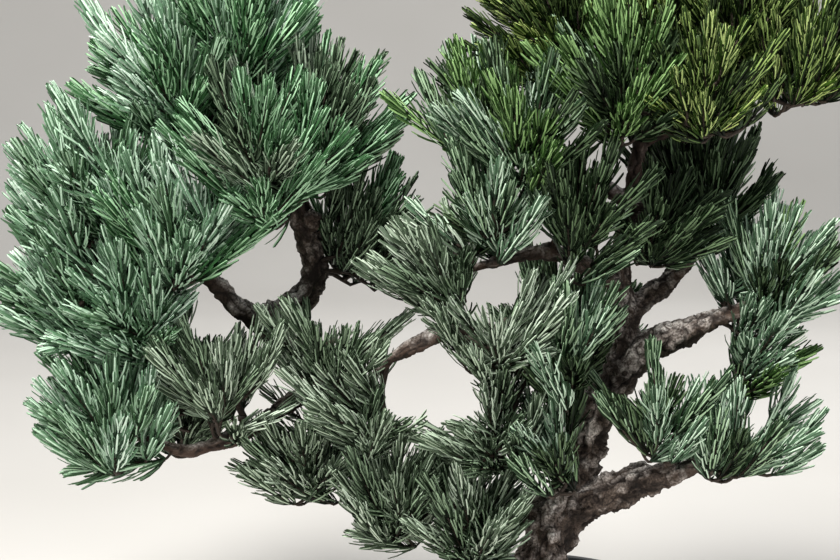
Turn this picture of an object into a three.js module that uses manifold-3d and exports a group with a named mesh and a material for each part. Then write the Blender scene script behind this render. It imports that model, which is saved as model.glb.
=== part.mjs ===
// Potted juniper bonsai: a trunk with a root flare, its boughs, and the masses of needles
// they carry, in a round pot of soil. Millimetres, +Z up, +X to the right of the front view
// and +Y away from it. The origin is the middle of the pot's flat underside.

import * as THREE from 'three';
import { mergeVertices } from 'three/addons/utils/BufferGeometryUtils.js';
import Module from 'manifold-3d';

const wasm = await Module();
wasm.setup();

// Pot and soil
const POT_HEIGHT = 78;
const POT_TOP_RADIUS = 67.5;
const POT_FOOT_RADIUS = 62;
const POT_WALL = 6;
const POT_FLOOR = 7;
const POT_LIP_ROUNDING = 1.6;
const POT_SIDES = 40;
const DRAIN_HOLES = 3;
const DRAIN_RADIUS = 6;
const DRAIN_CIRCLE = 30;
const DRAIN_SIDES = 10;
const SOIL_TOP = 66;
const SOIL_EDGE_DROP = 3;
const SOIL_CROWN_RADIUS = 26;
const SEAT_GAP = 0.3;
const WELD = 1e-4;
const SLIVER = 0.02;

// Limbs: sides round a limb, length of one step along it, and the root flare's lobes
const TRUNK_SIDES = 12;
const BOUGH_SIDES = 7;
const LIMB_STEP = 15;
const LIMB_MARK_STEP = 1.5;
const FLARE_LOBES = 5;
const FLARE_DEPTH = 0.16;
const FLARE_HEIGHT = 26;

// Foliage: every mass keeps to a flattened ball, and to its own side of its neighbours
const SPACE_FLATTENING = 0.92;
const SPACE_MARGIN = 0.3;
const LIMB_CLEARANCE = 0.8;
const SHOOT_CLEARANCE = 2.2;
const TEST_STEP = 2.5;
const STEM_MARKS = 24;
const TWIG_ROOT = 5;
const LOWEST_NEEDLE = 86;
const STEM_RADIUS = 2.1;
const STEM_TIP_RADIUS = 1.1;
const STEM_SIDES = 5;
const FOOT_SPACING = 7;
const TWIG_RADIUS = 0.95;
const SHOOTS_FOR_THIRTY_MM = 2.5;
const AIMS_TRIED = 60;
const FIRST_SEED = 7;
const SHOOT_LIFT = 0.25;
const SHOOT_SIZES = [1.1, 0.98, 0.86, 0.74, 0.62];
const AIM_TURN_STEP = 0.7549;
const AIM_HEIGHT_STEP = 0.5698;
const AIM_TURN_SPREAD = 0.1;
const FIRST_ROOT = 0.5;
const SHORTEST_REACH = 5;
const REACH_SHARE = 0.92;
const REACH_SPREAD = 0.1;

// Spray of needles at a shoot's tip: three toothed wings round the shoot's axis
const SPRAY_LENGTH = 35;
const SPRAY_WINGS = 3;
const TOOTH_ANGLES = [76, 50, 25].map(THREE.MathUtils.degToRad);
const TOOTH_LENGTHS = [0.82, 0.92, 0.98];
const VALLEY_LENGTH = 0.5;
const SPRAY_HUB_RADIUS = 0.75;
const NECK_SHARE = 0.12;

// Colours, roughness
const DARK_CERAMIC = { color: 0x3c3f42, roughness: 0.62 };
const GRAVEL_SOIL = { color: 0x8a6f58, roughness: 0.95 };
const OLD_BARK = { color: 0x6f6259, roughness: 0.92 };
const GLAUCOUS_NEEDLES = { color: 0x7fa595, roughness: 0.6 };
const GREY_GREEN_NEEDLES = { color: 0x5f7f70, roughness: 0.6 };
const DEEP_GREEN_NEEDLES = { color: 0x35594a, roughness: 0.6 };
const FRESH_GREEN_NEEDLES = { color: 0x7c9a4a, roughness: 0.6 };

// Each limb runs through its bends, x, y, z and thickness, from inside what carries it.
// A limb is cut clear of the limbs that are listed before it.
const LIMBS = [
  { name: 'trunk', sides: TRUNK_SIDES, bends: [
    [0, 0, 54, 44], [0, 0, 66, 38], [0, 0, 80, 30], [3, 0, 99, 26], [11, 0, 120, 28],
    [18, 0, 136, 23], [24, 3, 154, 20], [31, 5, 175, 19], [40, 4, 193, 19],
    [45, 3, 211, 16], [44, 5, 230, 12], [42, 8, 257, 11], [46, 6, 284, 9.5],
    [50, 2, 313, 8.5], [55, 0, 342, 6.5], [57, 0, 366, 5], [58, 2, 388, 3.5]] },
  { name: 'left_limb', bends: [
    [11, 2, 119, 20], [-15, 14, 120, 19], [-50, 22, 123, 18], [-84, 24, 132, 17]] },
  { name: 'left_limb_rise', bends: [
    [-82, 24, 131, 17], [-102, 23, 156, 17], [-116, 24, 184, 17], [-133, 26, 204, 17.5],
    [-147, 28, 221, 17]] },
  { name: 'left_leader', bends: [
    [-144, 28, 217, 16], [-129, 30, 230, 15], [-119, 32, 247, 14.5], [-125, 33, 269, 14],
    [-134, 32, 303, 9], [-148, 30, 335, 6], [-155, 31, 358, 4]] },
  { name: 'left_arm', bends: [
    [-145, 28, 218, 14], [-160, 24, 227, 12], [-172, 20, 241, 10], [-192, 18, 254, 8],
    [-217, 17, 266, 6], [-234, 16, 280, 4]] },
  { name: 'left_low_bough', bends: [
    [-116, 24, 184, 13], [-128, 13, 181, 11], [-144, 5, 171, 10.5], [-165, 2, 160, 9],
    [-187, 0, 155, 6.5], [-208, 0, 162, 4]] },
  { name: 'middle_left_bough', bends: [
    [29, 5, 173, 13], [10, -10, 191, 12], [-12, -19, 205, 11], [-33, -25, 216, 10.5],
    [-50, -26, 222, 10], [-67, -24, 215, 8], [-80, -19, 206, 5]] },
  { name: 'upper_left_bough', bends: [
    [43, 7, 240, 10], [24, -4, 253, 9], [3, -12, 262, 8.5], [-17, -18, 260, 7],
    [-36, -22, 255, 4.5]] },
  { name: 'top_left_bough', bends: [
    [46, 6, 286, 8], [29, -4, 296, 7], [8, -13, 307, 6], [-17, -17, 318, 4]] },
  { name: 'low_right_bough', bends: [
    [13, 0, 124, 24], [32, -8, 132, 21], [49, -15, 142, 19], [63, -20, 147, 13],
    [82, -22, 153, 8]] },
  { name: 'middle_right_bough', bends: [
    [42, 3, 199, 18], [58, -4, 212, 15.5], [76, -9, 221, 13.5], [93, -13, 229, 9.5],
    [108, -13, 236, 5]] },
  { name: 'upper_right_bough', bends: [
    [44, 5, 226, 13], [56, 14, 234, 12.5], [69, 22, 242, 11], [82, 29, 254, 7.5],
    [88, 31, 272, 4.5]] },
  { name: 'top_right_bough', bends: [
    [51, 2, 320, 8], [74, -7, 328, 8], [98, -11, 338, 6.5], [118, -13, 347, 4]] },
  { name: 'back_low_bough', bends: [
    [24, 4, 152, 13], [22, 30, 161, 11], [19, 54, 174, 8], [19, 70, 192, 5]] },
  { name: 'back_top_bough', bends: [
    [42, 8, 266, 9], [55, 32, 277, 8], [66, 56, 297, 6], [72, 68, 318, 4]] },
  { name: 'left_back_bough', bends: [
    [-126, 33, 272, 11], [-131, 52, 287, 9], [-141, 72, 305, 6.5], [-150, 84, 323, 4]] },
];

// Each mass of foliage: the limb that carries it, the middle of its space, its radius
const MASSES = [
  ['crown_top', 'trunk', 49, 8, 398, 40, FRESH_GREEN_NEEDLES],
  ['crown_front', 'trunk', 31, -34, 354, 35, DEEP_GREEN_NEEDLES],
  ['crown_back', 'back_top_bough', 75, 72, 345, 46, DEEP_GREEN_NEEDLES],
  ['top_left_high', 'trunk', 2, 4, 380, 38, FRESH_GREEN_NEEDLES],
  ['top_left_tip', 'top_left_bough', -35, -14, 336, 33, DEEP_GREEN_NEEDLES],
  ['top_left_inner', 'top_left_bough', -9, -32, 329, 34, DEEP_GREEN_NEEDLES],
  ['upper_left_tip', 'upper_left_bough', -54, -26, 254, 33, GREY_GREEN_NEEDLES],
  ['upper_left_high', 'upper_left_bough', -28, -26, 289, 31, DEEP_GREEN_NEEDLES],
  ['top_left_low', 'upper_left_bough', 17, -32, 290, 31, DEEP_GREEN_NEEDLES],
  ['top_right_tip', 'top_right_bough', 133, -16, 361, 35, FRESH_GREEN_NEEDLES],
  ['top_right_high', 'top_right_bough', 96, -2, 392, 39, FRESH_GREEN_NEEDLES],
  ['top_right_inner', 'top_right_bough', 72, -34, 352, 33, FRESH_GREEN_NEEDLES],
  ['upper_right_tip', 'upper_right_bough', 81, 32, 295, 38, DEEP_GREEN_NEEDLES],
  ['upper_right_front', 'trunk', 60, -14, 280, 29, DEEP_GREEN_NEEDLES],
  ['middle_right_tip', 'middle_right_bough', 117, -12, 254, 35, DEEP_GREEN_NEEDLES],
  ['middle_right_low', 'middle_right_bough', 108, -18, 211, 32, DEEP_GREEN_NEEDLES],
  ['low_right_tip', 'low_right_bough', 106, -24, 168, 35, DEEP_GREEN_NEEDLES],
  ['low_right_inner', 'low_right_bough', 54, -32, 188, 33, DEEP_GREEN_NEEDLES],
  ['middle_back', 'back_low_bough', 20, 80, 210, 43, DEEP_GREEN_NEEDLES],
  ['middle_left_inner', 'middle_left_bough', -20, -40, 232, 31, GREY_GREEN_NEEDLES],
  ['middle_left_under', 'middle_left_bough', -30, -30, 178, 32, GREY_GREEN_NEEDLES],
  ['middle_front', 'middle_left_bough', 18, -37, 218, 31, DEEP_GREEN_NEEDLES],
  ['middle_low', 'trunk', 4, -36, 166, 30, DEEP_GREEN_NEEDLES],
  ['foot_left', 'left_limb', -38, -28, 129, 33, GREY_GREEN_NEEDLES],
  ['left_limb_front', 'left_limb', -77, -14, 137, 35, GREY_GREEN_NEEDLES],
  ['left_fork_front', 'left_limb_rise', -107, -6, 215, 31, GREY_GREEN_NEEDLES],
  ['left_limb_upper', 'middle_left_bough', -96, -12, 184, 33, GREY_GREEN_NEEDLES],
  ['left_limb_low', 'left_limb_rise', -127, 2, 150, 33, GREY_GREEN_NEEDLES],
  ['left_low_tip', 'left_low_bough', -228, 0, 178, 39, GLAUCOUS_NEEDLES],
  ['left_low_inner', 'left_low_bough', -168, -12, 196, 35, GREY_GREEN_NEEDLES],
  ['left_low_back', 'left_low_bough', -192, 60, 178, 41, GREY_GREEN_NEEDLES],
  ['left_arm_tip', 'left_arm', -236, 14, 298, 39, GLAUCOUS_NEEDLES],
  ['left_arm_far', 'left_arm', -257, 14, 241, 36, GLAUCOUS_NEEDLES],
  ['left_arm_inner', 'left_arm', -182, -6, 282, 38, GLAUCOUS_NEEDLES],
  ['left_arm_low', 'left_arm', -214, -2, 230, 35, GLAUCOUS_NEEDLES],
  ['left_arm_back', 'left_arm', -226, 76, 258, 43, GREY_GREEN_NEEDLES],
  ['leader_top', 'left_leader', -157, 30, 382, 41, GLAUCOUS_NEEDLES],
  ['leader_left', 'left_leader', -197, 24, 356, 41, GLAUCOUS_NEEDLES],
  ['leader_front', 'left_leader', -145, -10, 315, 40, GREY_GREEN_NEEDLES],
  ['leader_right', 'left_leader', -113, 22, 330, 38, GREY_GREEN_NEEDLES],
  ['leader_low', 'left_leader', -88, 46, 272, 38, GREY_GREEN_NEEDLES],
  ['leader_back', 'left_back_bough', -154, 90, 344, 45, GREY_GREEN_NEEDLES],
].map(([name, limb, x, y, z, radius, look]) => ({
  name, limb, look, radius, centre: new THREE.Vector3(x, y, z),
}));

// Small tools

function seededRandom(seed) {
  let state = seed;
  return () => {
    state = (state + 0x6d2b79f5) | 0;
    let mixed = Math.imul(state ^ (state >>> 15), 1 | state);
    mixed = (mixed + Math.imul(mixed ^ (mixed >>> 7), 61 | mixed)) ^ mixed;
    return ((mixed ^ (mixed >>> 14)) >>> 0) / 2 ** 32;
  };
}

function toSolid(geometry) {
  const bare = geometry.index ? geometry : mergeVertices(geometry);
  bare.deleteAttribute('normal');
  bare.deleteAttribute('uv');
  const merged = mergeVertices(bare, WELD);
  return new wasm.Manifold(new wasm.Mesh({
    numProp: 3,
    vertProperties: new Float32Array(merged.attributes.position.array),
    triVerts: new Uint32Array(merged.index.array),
  }));
}

function toGeometry(solid) {
  const mesh = solid.getMesh();
  const geometry = new THREE.BufferGeometry();
  geometry.setAttribute('position', new THREE.BufferAttribute(mesh.vertProperties, 3));
  geometry.setIndex(new THREE.BufferAttribute(mesh.triVerts, 1));
  return geometry;
}

// The largest body of a joined solid, without the slivers of its cuts: loose scraps and
// sealed hollows go
function mainBody(solid) {
  const bodies = solid.simplify(SLIVER).decompose();
  return bodies.reduce((best, body) => (body.volume() > best.volume() ? body : best));
}

function unitAcross(direction) {
  const side = Math.abs(direction.z) < 0.9
    ? new THREE.Vector3(0, 0, 1) : new THREE.Vector3(1, 0, 0);
  return side.cross(direction).normalize();
}

// A closed round bar along sampled places, each a point and a radius, made by bending a
// cylinder. swell(angle, point) may lengthen the radius.
function bentBar(places, sides, swell = () => 1) {
  const rings = places.length - 1;
  const bar = new THREE.CylinderGeometry(1, 1, 1, sides, rings);
  bar.deleteAttribute('normal');
  bar.deleteAttribute('uv');
  const geometry = mergeVertices(bar, WELD);
  const frames = [];
  let across = null;
  places.forEach(({ point }, i) => {
    const before = places[Math.max(i - 1, 0)].point;
    const after = places[Math.min(i + 1, rings)].point;
    const along = after.clone().sub(before).normalize();
    across = across
      ? across.clone().addScaledVector(along, -across.dot(along)).normalize()
      : unitAcross(along);
    frames.push({ point, across, beside: new THREE.Vector3().crossVectors(along, across) });
  });
  const position = geometry.attributes.position;
  for (let i = 0; i < position.count; i += 1) {
    const x = position.getX(i);
    const z = position.getZ(i);
    const ring = Math.round((position.getY(i) + 0.5) * rings);
    const { point, across: u, beside: v } = frames[ring];
    const radius = places[ring].radius * swell(Math.atan2(z, x), point);
    const place = point.clone().addScaledVector(u, x * radius).addScaledVector(v, -z * radius);
    position.setXYZ(i, place.x, place.y, place.z);
  }
  return toSolid(geometry);
}

// Pot and soil

function potSolid() {
  const inner = POT_TOP_RADIUS - POT_WALL;
  const round = POT_LIP_ROUNDING;
  const profile = [
    [0, 0], [POT_FOOT_RADIUS, 0], [POT_TOP_RADIUS, POT_HEIGHT - round],
    [POT_TOP_RADIUS - round, POT_HEIGHT], [inner + round, POT_HEIGHT],
    [inner, POT_HEIGHT - round], [POT_FOOT_RADIUS - POT_WALL, POT_FLOOR], [0, POT_FLOOR],
  ].map(([x, y]) => new THREE.Vector2(x, y));
  const lathe = new THREE.LatheGeometry(profile, POT_SIDES).rotateX(Math.PI / 2);
  let pot = toSolid(lathe);
  for (let i = 0; i < DRAIN_HOLES; i += 1) {
    const angle = (i * 2 * Math.PI) / DRAIN_HOLES;
    const drill = new THREE.CylinderGeometry(DRAIN_RADIUS, DRAIN_RADIUS, 3 * POT_FLOOR, DRAIN_SIDES)
      .rotateX(Math.PI / 2)
      .translate(DRAIN_CIRCLE * Math.cos(angle), DRAIN_CIRCLE * Math.sin(angle), 0);
    pot = pot.subtract(toSolid(drill));
  }
  return pot;
}

function soilSolid() {
  const wallSlope = (POT_TOP_RADIUS - POT_FOOT_RADIUS) / (POT_HEIGHT - POT_LIP_ROUNDING - POT_FLOOR);
  const bottom = POT_FLOOR + SEAT_GAP;
  const edge = SOIL_TOP - SOIL_EDGE_DROP;
  const footRadius = POT_FOOT_RADIUS - POT_WALL - 2 * SEAT_GAP;
  const profile = [
    [0, bottom], [footRadius, bottom], [footRadius + wallSlope * (edge - bottom), edge],
    [SOIL_CROWN_RADIUS, SOIL_TOP], [0, SOIL_TOP],
  ].map(([x, y]) => new THREE.Vector2(x, y));
  return toSolid(new THREE.LatheGeometry(profile, POT_SIDES).rotateX(Math.PI / 2));
}

// Limbs

// The limb's centreline and radius at share t of its bends
function limbPlace(limb, t) {
  const last = limb.bends.length - 1;
  const i = Math.min(Math.floor(t * last), last - 1);
  const share = t * last - i;
  const radius = THREE.MathUtils.lerp(limb.bends[i][3], limb.bends[i + 1][3], share) / 2;
  return { point: limb.curve.getPoint(t), radius };
}

function sampleLimb(limb, step, growth = 0) {
  const count = Math.max(3, Math.round(limb.curve.getLength() / step));
  return Array.from({ length: count + 1 }, (_, i) => {
    const place = limbPlace(limb, i / count);
    return { point: place.point, radius: place.radius + growth };
  });
}

// The places of a limb with both ends moved out by the growth
function lengthened(places, growth) {
  const last = places.length - 1;
  const first = places[0].point.clone().sub(places[1].point).setLength(growth);
  const end = places[last].point.clone().sub(places[last - 1].point).setLength(growth);
  return places.map(({ point, radius }, i) => ({
    radius,
    point: i === 0 ? point.clone().add(first) : i === last ? point.clone().add(end) : point,
  }));
}

function rootFlare(angle, point) {
  const low = THREE.MathUtils.clamp(1 - (point.z - SOIL_TOP) / FLARE_HEIGHT, 0, 1);
  return 1 + FLARE_DEPTH * low * Math.cos(FLARE_LOBES * angle);
}

function limbSolid(limb, growth = 0) {
  const places = sampleLimb(limb, LIMB_STEP, growth);
  const swell = limb.name === 'trunk' ? rootFlare : undefined;
  return bentBar(growth ? lengthened(places, growth) : places, limb.sides ?? BOUGH_SIDES, swell);
}

// Everything below the flat cut at the trunk's foot
function groundBlock() {
  const top = SOIL_TOP + SEAT_GAP;
  const block = new THREE.BoxGeometry(2 * POT_TOP_RADIUS, 2 * POT_TOP_RADIUS, top);
  return toSolid(block.translate(0, 0, top / 2));
}

// Foliage

function flattened(point) {
  return new THREE.Vector3(point.x, point.y, point.z / SPACE_FLATTENING);
}

// How far a point lies inside a mass's own space, negative outside
function depthInSpace(point, mass) {
  const place = flattened(point);
  const own = place.distanceToSquared(mass.heart) - mass.radius ** 2;
  let depth = mass.radius - place.distanceTo(mass.heart);
  for (const { heart, radius, distance } of mass.neighbours) {
    const other = place.distanceToSquared(heart) - radius ** 2;
    depth = Math.min(depth, (other - own) / (2 * distance) - SPACE_MARGIN);
  }
  return depth;
}

function clearOf(point, obstacles, clearance) {
  return obstacles.every(({ point: middle, radius }) => (
    point.distanceTo(middle) > radius + clearance));
}

// The place on the limb's centreline that is nearest to the mass and still clear of the
// stems that the limb already carries
function stemFoot(mass) {
  const { feet } = mass.carrier;
  const foot = sampleLimb(mass.carrier, LIMB_MARK_STEP)
    .map(({ point }) => point)
    .filter((point) => feet.every((other) => other.distanceTo(point) > FOOT_SPACING))
    .reduce((best, point) => (
      point.distanceTo(mass.centre) < best.distanceTo(mass.centre) ? point : best));
  feet.push(foot);
  return foot;
}

// The stem runs from inside its limb to the middle of the mass
function stemPlaces(mass) {
  return [
    { point: stemFoot(mass), radius: STEM_RADIUS },
    { point: mass.centre, radius: STEM_TIP_RADIUS },
  ];
}

// Where shoot number k of a mass starts and ends, and which way its spray points, at a size.
// The first one goes on the way the stem goes, and the others turn round from it.
function shootRoute(mass, k, draws, size) {
  const height = 1 - 2 * ((0.5 + k * AIM_HEIGHT_STEP) % 1);
  const stemRun = mass.centre.clone().sub(mass.stem[0].point);
  const turn = Math.atan2(stemRun.y, stemRun.x)
    + 2 * Math.PI * (k * AIM_TURN_STEP + AIM_TURN_SPREAD * draws[0]);
  const flat = Math.sqrt(1 - height * height);
  const aim = new THREE.Vector3(flat * Math.cos(turn), flat * Math.sin(turn), height);
  const root = mass.stem[0].point.clone()
    .lerp(mass.centre, THREE.MathUtils.lerp(FIRST_ROOT, 1, draws[1]));
  const sprayReach = SPRAY_LENGTH * size * (REACH_SHARE + REACH_SPREAD * draws[2]);
  const reach = Math.max(mass.radius - sprayReach, SHORTEST_REACH) * size;
  const end = mass.centre.clone().addScaledVector(aim, reach);
  const lift = new THREE.Vector3(0, 0, SHOOT_LIFT);
  const axis = end.clone().sub(root).normalize().add(aim).add(lift).normalize();
  return { root, end, axis, size, twist: draws[3] * Math.PI };
}

// The outline of one wing, from its lowest tooth to the spray's tip, as angle and length
function wingOutline() {
  const outline = [];
  TOOTH_ANGLES.forEach((angle, i) => {
    const next = i + 1 < TOOTH_ANGLES.length ? TOOTH_ANGLES[i + 1] : 0;
    outline.push([angle, TOOTH_LENGTHS[i]]);
    outline.push([(angle + next) / 2, VALLEY_LENGTH]);
  });
  return outline;
}

// A shoot in one closed skin: a three-sided twig that opens into the wings of its spray
function shootGeometry(route) {
  const { root, end, axis, size, twist } = route;
  const length = SPRAY_LENGTH * size;
  const across = unitAcross(axis);
  const beside = new THREE.Vector3().crossVectors(axis, across);
  const points = [];
  const faces = [];
  const outward = (angle) => across.clone().multiplyScalar(Math.cos(angle))
    .addScaledVector(beside, Math.sin(angle));
  const addPoint = (centre, angle, radius) => {
    points.push(centre.clone().addScaledVector(outward(angle), radius));
    return points.length - 1;
  };
  const neck = end.clone().addScaledVector(axis, -NECK_SHARE * length);
  const rings = [root, neck].map((centre) => Array.from({ length: SPRAY_WINGS }, (_, i) => (
    addPoint(centre, twist + (i * 2 * Math.PI) / SPRAY_WINGS, TWIG_RADIUS))));
  const grooves = rings[0].map((_, i) => (
    addPoint(end, twist + ((i + 0.5) * 2 * Math.PI) / SPRAY_WINGS, SPRAY_HUB_RADIUS)));
  points.push(end.clone().addScaledVector(axis, length));
  const tip = points.length - 1;
  faces.push([rings[0][0], rings[0][2], rings[0][1]]);
  for (let i = 0; i < SPRAY_WINGS; i += 1) {
    const next = (i + 1) % SPRAY_WINGS;
    const before = (i + SPRAY_WINGS - 1) % SPRAY_WINGS;
    faces.push([rings[0][i], rings[0][next], rings[1][next]]);
    faces.push([rings[0][i], rings[1][next], rings[1][i]]);
    faces.push([rings[1][i], rings[1][next], grooves[i]]);
    const angleRound = twist + (i * 2 * Math.PI) / SPRAY_WINGS;
    const rim = [rings[1][i]];
    wingOutline().forEach(([angle, share]) => {
      const place = end.clone().addScaledVector(axis, length * share * Math.cos(angle))
        .addScaledVector(outward(angleRound), length * share * Math.sin(angle));
      points.push(place);
      rim.push(points.length - 1);
    });
    rim.push(tip);
    for (let j = 0; j + 1 < rim.length; j += 1) {
      faces.push([rim[j], grooves[i], rim[j + 1]]);
      faces.push([rim[j], rim[j + 1], grooves[before]]);
    }
  }
  return { points, faces };
}

// Points along the twig, past its root, and along every ridge of its spray
function testPoints({ points }, route) {
  const marks = [];
  const line = (from, to) => {
    const count = Math.ceil(from.distanceTo(to) / TEST_STEP);
    for (let i = 0; i <= count; i += 1) {
      marks.push(from.clone().lerp(to, i / count));
    }
  };
  const length = route.end.distanceTo(route.root);
  if (length > TWIG_ROOT) {
    line(route.root.clone().lerp(route.end, TWIG_ROOT / length), route.end);
  }
  const ridges = points.slice(3 * SPRAY_WINGS); // after two twig rings and the grooves
  ridges.forEach((point) => line(route.end, point));
  return marks;
}

function shootFits(mass, marks, obstacles, taken) {
  return marks.every((point) => (
    point.z > LOWEST_NEEDLE
    && depthInSpace(point, mass) > 0
    && clearOf(point, obstacles, LIMB_CLEARANCE)
    && clearOf(point, taken, SHOOT_CLEARANCE)));
}

function solidFrom({ points, faces }) {
  const geometry = new THREE.BufferGeometry();
  geometry.setAttribute('position',
    new THREE.Float32BufferAttribute(points.flatMap((point) => point.toArray()), 3));
  geometry.setIndex(faces.flat());
  return toSolid(geometry);
}

function massSolid(mass, seed, obstacles) {
  const random = seededRandom(seed);
  let solid = bentBar(mass.stem, STEM_SIDES);
  const taken = [];
  let kept = 0;
  for (let k = 0; k < AIMS_TRIED && kept < mass.shoots; k += 1) {
    const draws = [random(), random(), random(), random()];
    for (const size of SHOOT_SIZES) {
      const route = shootRoute(mass, k, draws, size);
      const shape = shootGeometry(route);
      const marks = testPoints(shape, route);
      if (shootFits(mass, marks, obstacles, taken)) {
        solid = solid.add(solidFrom(shape));
        marks.forEach((point) => taken.push({ point, radius: 0 }));
        kept += 1;
        break;
      }
    }
  }
  return mainBody(solid.subtract(limbSolid(mass.carrier, SEAT_GAP)));
}

// Assembly

const bonsai = new THREE.Group();

function addPiece(name, solid, look) {
  const material = new THREE.MeshStandardMaterial({ ...look, metalness: 0 });
  const piece = new THREE.Mesh(toGeometry(solid), material);
  piece.name = name;
  bonsai.add(piece);
}

addPiece('pot', potSolid(), DARK_CERAMIC);
addPiece('soil', soilSolid(), GRAVEL_SOIL);

LIMBS.forEach((limb) => {
  limb.curve = new THREE.CatmullRomCurve3(
    limb.bends.map(([x, y, z]) => new THREE.Vector3(x, y, z)), false, 'catmullrom', 0.5);
  limb.feet = [];
});

LIMBS.forEach((limb, i) => {
  const cut = LIMBS.slice(0, i).reduce(
    (solid, earlier) => solid.subtract(limbSolid(earlier, SEAT_GAP)), limbSolid(limb));
  addPiece(limb.name, mainBody(cut.subtract(groundBlock())), OLD_BARK);
});

MASSES.forEach((mass) => {
  mass.heart = flattened(mass.centre);
  mass.carrier = LIMBS.find((limb) => limb.name === mass.limb);
  mass.stem = stemPlaces(mass);
  mass.shoots = Math.round(SHOOTS_FOR_THIRTY_MM * (mass.radius / 30) ** 2);
});

MASSES.forEach((mass) => {
  mass.neighbours = MASSES.filter((other) => other !== mass)
    .map(({ heart, radius }) => ({ heart, radius, distance: heart.distanceTo(mass.heart) }))
    .filter(({ radius, distance }) => distance < radius + mass.radius + SPACE_MARGIN);
});

const limbPlaces = LIMBS.flatMap((limb) => sampleLimb(limb, LIMB_MARK_STEP));

MASSES.forEach((mass, i) => {
  const otherStems = MASSES.filter((other) => other !== mass).flatMap(({ stem }) => (
    Array.from({ length: STEM_MARKS }, (_, step) => ({
      point: stem[0].point.clone().lerp(stem[1].point, step / (STEM_MARKS - 1)),
      radius: STEM_RADIUS,
    }))));
  const solid = massSolid(mass, FIRST_SEED + i, [...limbPlaces, ...otherStems]);
  addPiece(`${mass.name}_foliage`, solid, mass.look);
});

export default bonsai;
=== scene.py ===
import itertools
import math

import bpy
import numpy as np
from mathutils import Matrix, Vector


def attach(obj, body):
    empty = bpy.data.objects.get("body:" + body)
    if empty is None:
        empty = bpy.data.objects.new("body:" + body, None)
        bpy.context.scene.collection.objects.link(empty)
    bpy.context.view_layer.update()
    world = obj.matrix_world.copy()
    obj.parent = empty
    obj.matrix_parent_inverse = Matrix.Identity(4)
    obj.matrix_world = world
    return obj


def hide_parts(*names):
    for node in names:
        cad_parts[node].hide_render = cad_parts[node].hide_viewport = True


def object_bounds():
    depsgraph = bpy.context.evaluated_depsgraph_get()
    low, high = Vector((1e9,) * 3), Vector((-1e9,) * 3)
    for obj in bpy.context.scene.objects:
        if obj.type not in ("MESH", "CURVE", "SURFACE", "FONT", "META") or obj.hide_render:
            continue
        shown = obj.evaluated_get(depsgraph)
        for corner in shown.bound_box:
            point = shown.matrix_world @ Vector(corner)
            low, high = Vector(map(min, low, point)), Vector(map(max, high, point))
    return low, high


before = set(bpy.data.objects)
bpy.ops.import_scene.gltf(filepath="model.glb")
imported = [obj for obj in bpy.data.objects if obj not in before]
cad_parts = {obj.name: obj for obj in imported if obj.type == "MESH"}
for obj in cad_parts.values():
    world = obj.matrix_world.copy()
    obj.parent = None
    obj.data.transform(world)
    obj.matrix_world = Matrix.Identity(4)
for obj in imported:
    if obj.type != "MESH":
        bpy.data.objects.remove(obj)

# Potted juniper bonsai. Lengths are millimetres until a mesh is made, +Z up, and the front
# of the tree faces -Y.

CAD_BOX = [list(corner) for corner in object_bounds()]
MM = 0.001
UP = np.array([0.0, 0.0, 1.0])
FRONT = np.array([0.0, -1.0, 0.0])
BLACK, WHITE = (0, 0, 0), (1, 1, 1)

# Pot and soil
POT_HEIGHT = 78.0
POT_TOP_RADIUS = 67.5
POT_FOOT_RADIUS = 62.0
POT_WALL = 6.0
POT_FLOOR = 7.0
POT_SIDES = 128
LIP_ROUNDING, FOOT_ROUNDING, INNER_ROUNDING = 1.8, 1.4, 3.0
ROUNDING_STEPS = 5
DRAIN_HOLES = 3
DRAIN_RADIUS = 6.0
DRAIN_CIRCLE = 30.0
SOIL_TOP = 66.0
SOIL_EDGE_DROP = 3.0
SOIL_CROWN_RADIUS = 26.0
GRAVEL_SEED = 4
GRAIN_COUNT = 820
GRAVEL_TRIES = 60
GRAIN_SIZE = (1.7, 3.1)
GRAIN_STACK = 2.2
GRAIN_CLOSENESS = 0.8
GRAVEL_RADIUS = 58.2
TRUNK_FOOT_RADIUS = 19.5
# Colour of each kind of grain, and its share
GRIT = {"tan": ((0.33, 0.22, 0.14), 0.3), "brown": ((0.15, 0.085, 0.055), 0.26),
        "pinkish": ((0.3, 0.19, 0.15), 0.2), "grey": ((0.2, 0.18, 0.165), 0.14),
        "dark": ((0.07, 0.05, 0.042), 0.1)}

# Limbs
LIMB_MARK_STEP = 1.5
RING_STEP = 2.0
TRUNK_SIDES = 40
BOUGH_SIDES = 20
TRUNK_FOOT = 60.0
FLARE_LOBES = 5
FLARE_DEPTH = 0.2
FLARE_HEIGHT = 26.0
BARK_VOXEL = 1.15
FORK_SWELLING = 0.22
FORK_REACH = 14.0
SWELLING_WAVE = 17.0
# Bark: how broad and long its flakes, furrows and splits are, and where a flake's step rises
FLAKE_SIZE = np.array([4.2, 4.2, 9.5])
FURROW_SIZE = np.array([4.6, 4.6, 15.0])
SPLIT_SIZE = np.array([9.0, 9.0, 6.5])
STEP_EDGES = (0.62, 0.94)
LIMB_BLEND = 0.9
YOUNG_RADII = (3.2, 7.0)

# Foliage, as in the solids
SPACE_SHAPE = np.array([1, 1, 0.92])
LOWEST_NEEDLE = 84.0
STEM_RADIUS = 2.1
STEM_TIP_RADIUS = 1.2
STEM_POINTS = 14
STEM_BOW = 0.05
FOOT_SPACING = 7.0
FIRST_SEED = 7
BOX_ALLOWANCE = -1.0
AIM_TURN_STEP = 0.7549
AIM_HEIGHT_STEP = 0.5698
AIM_TURN_SPREAD = 0.1

# Outline of the crown: every mass's space a little grown, creases between them filled, ragged
RIM_GROWTH = 1.07
CREASE_FILL = 6.5
RAGGEDNESS = 6.5
RAGGED_WAVE = 14.0
RAGGED_GAPS = 0.4
GAP_WAVE = 9.0
BORDER_OVERLAP = 5.0

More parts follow.
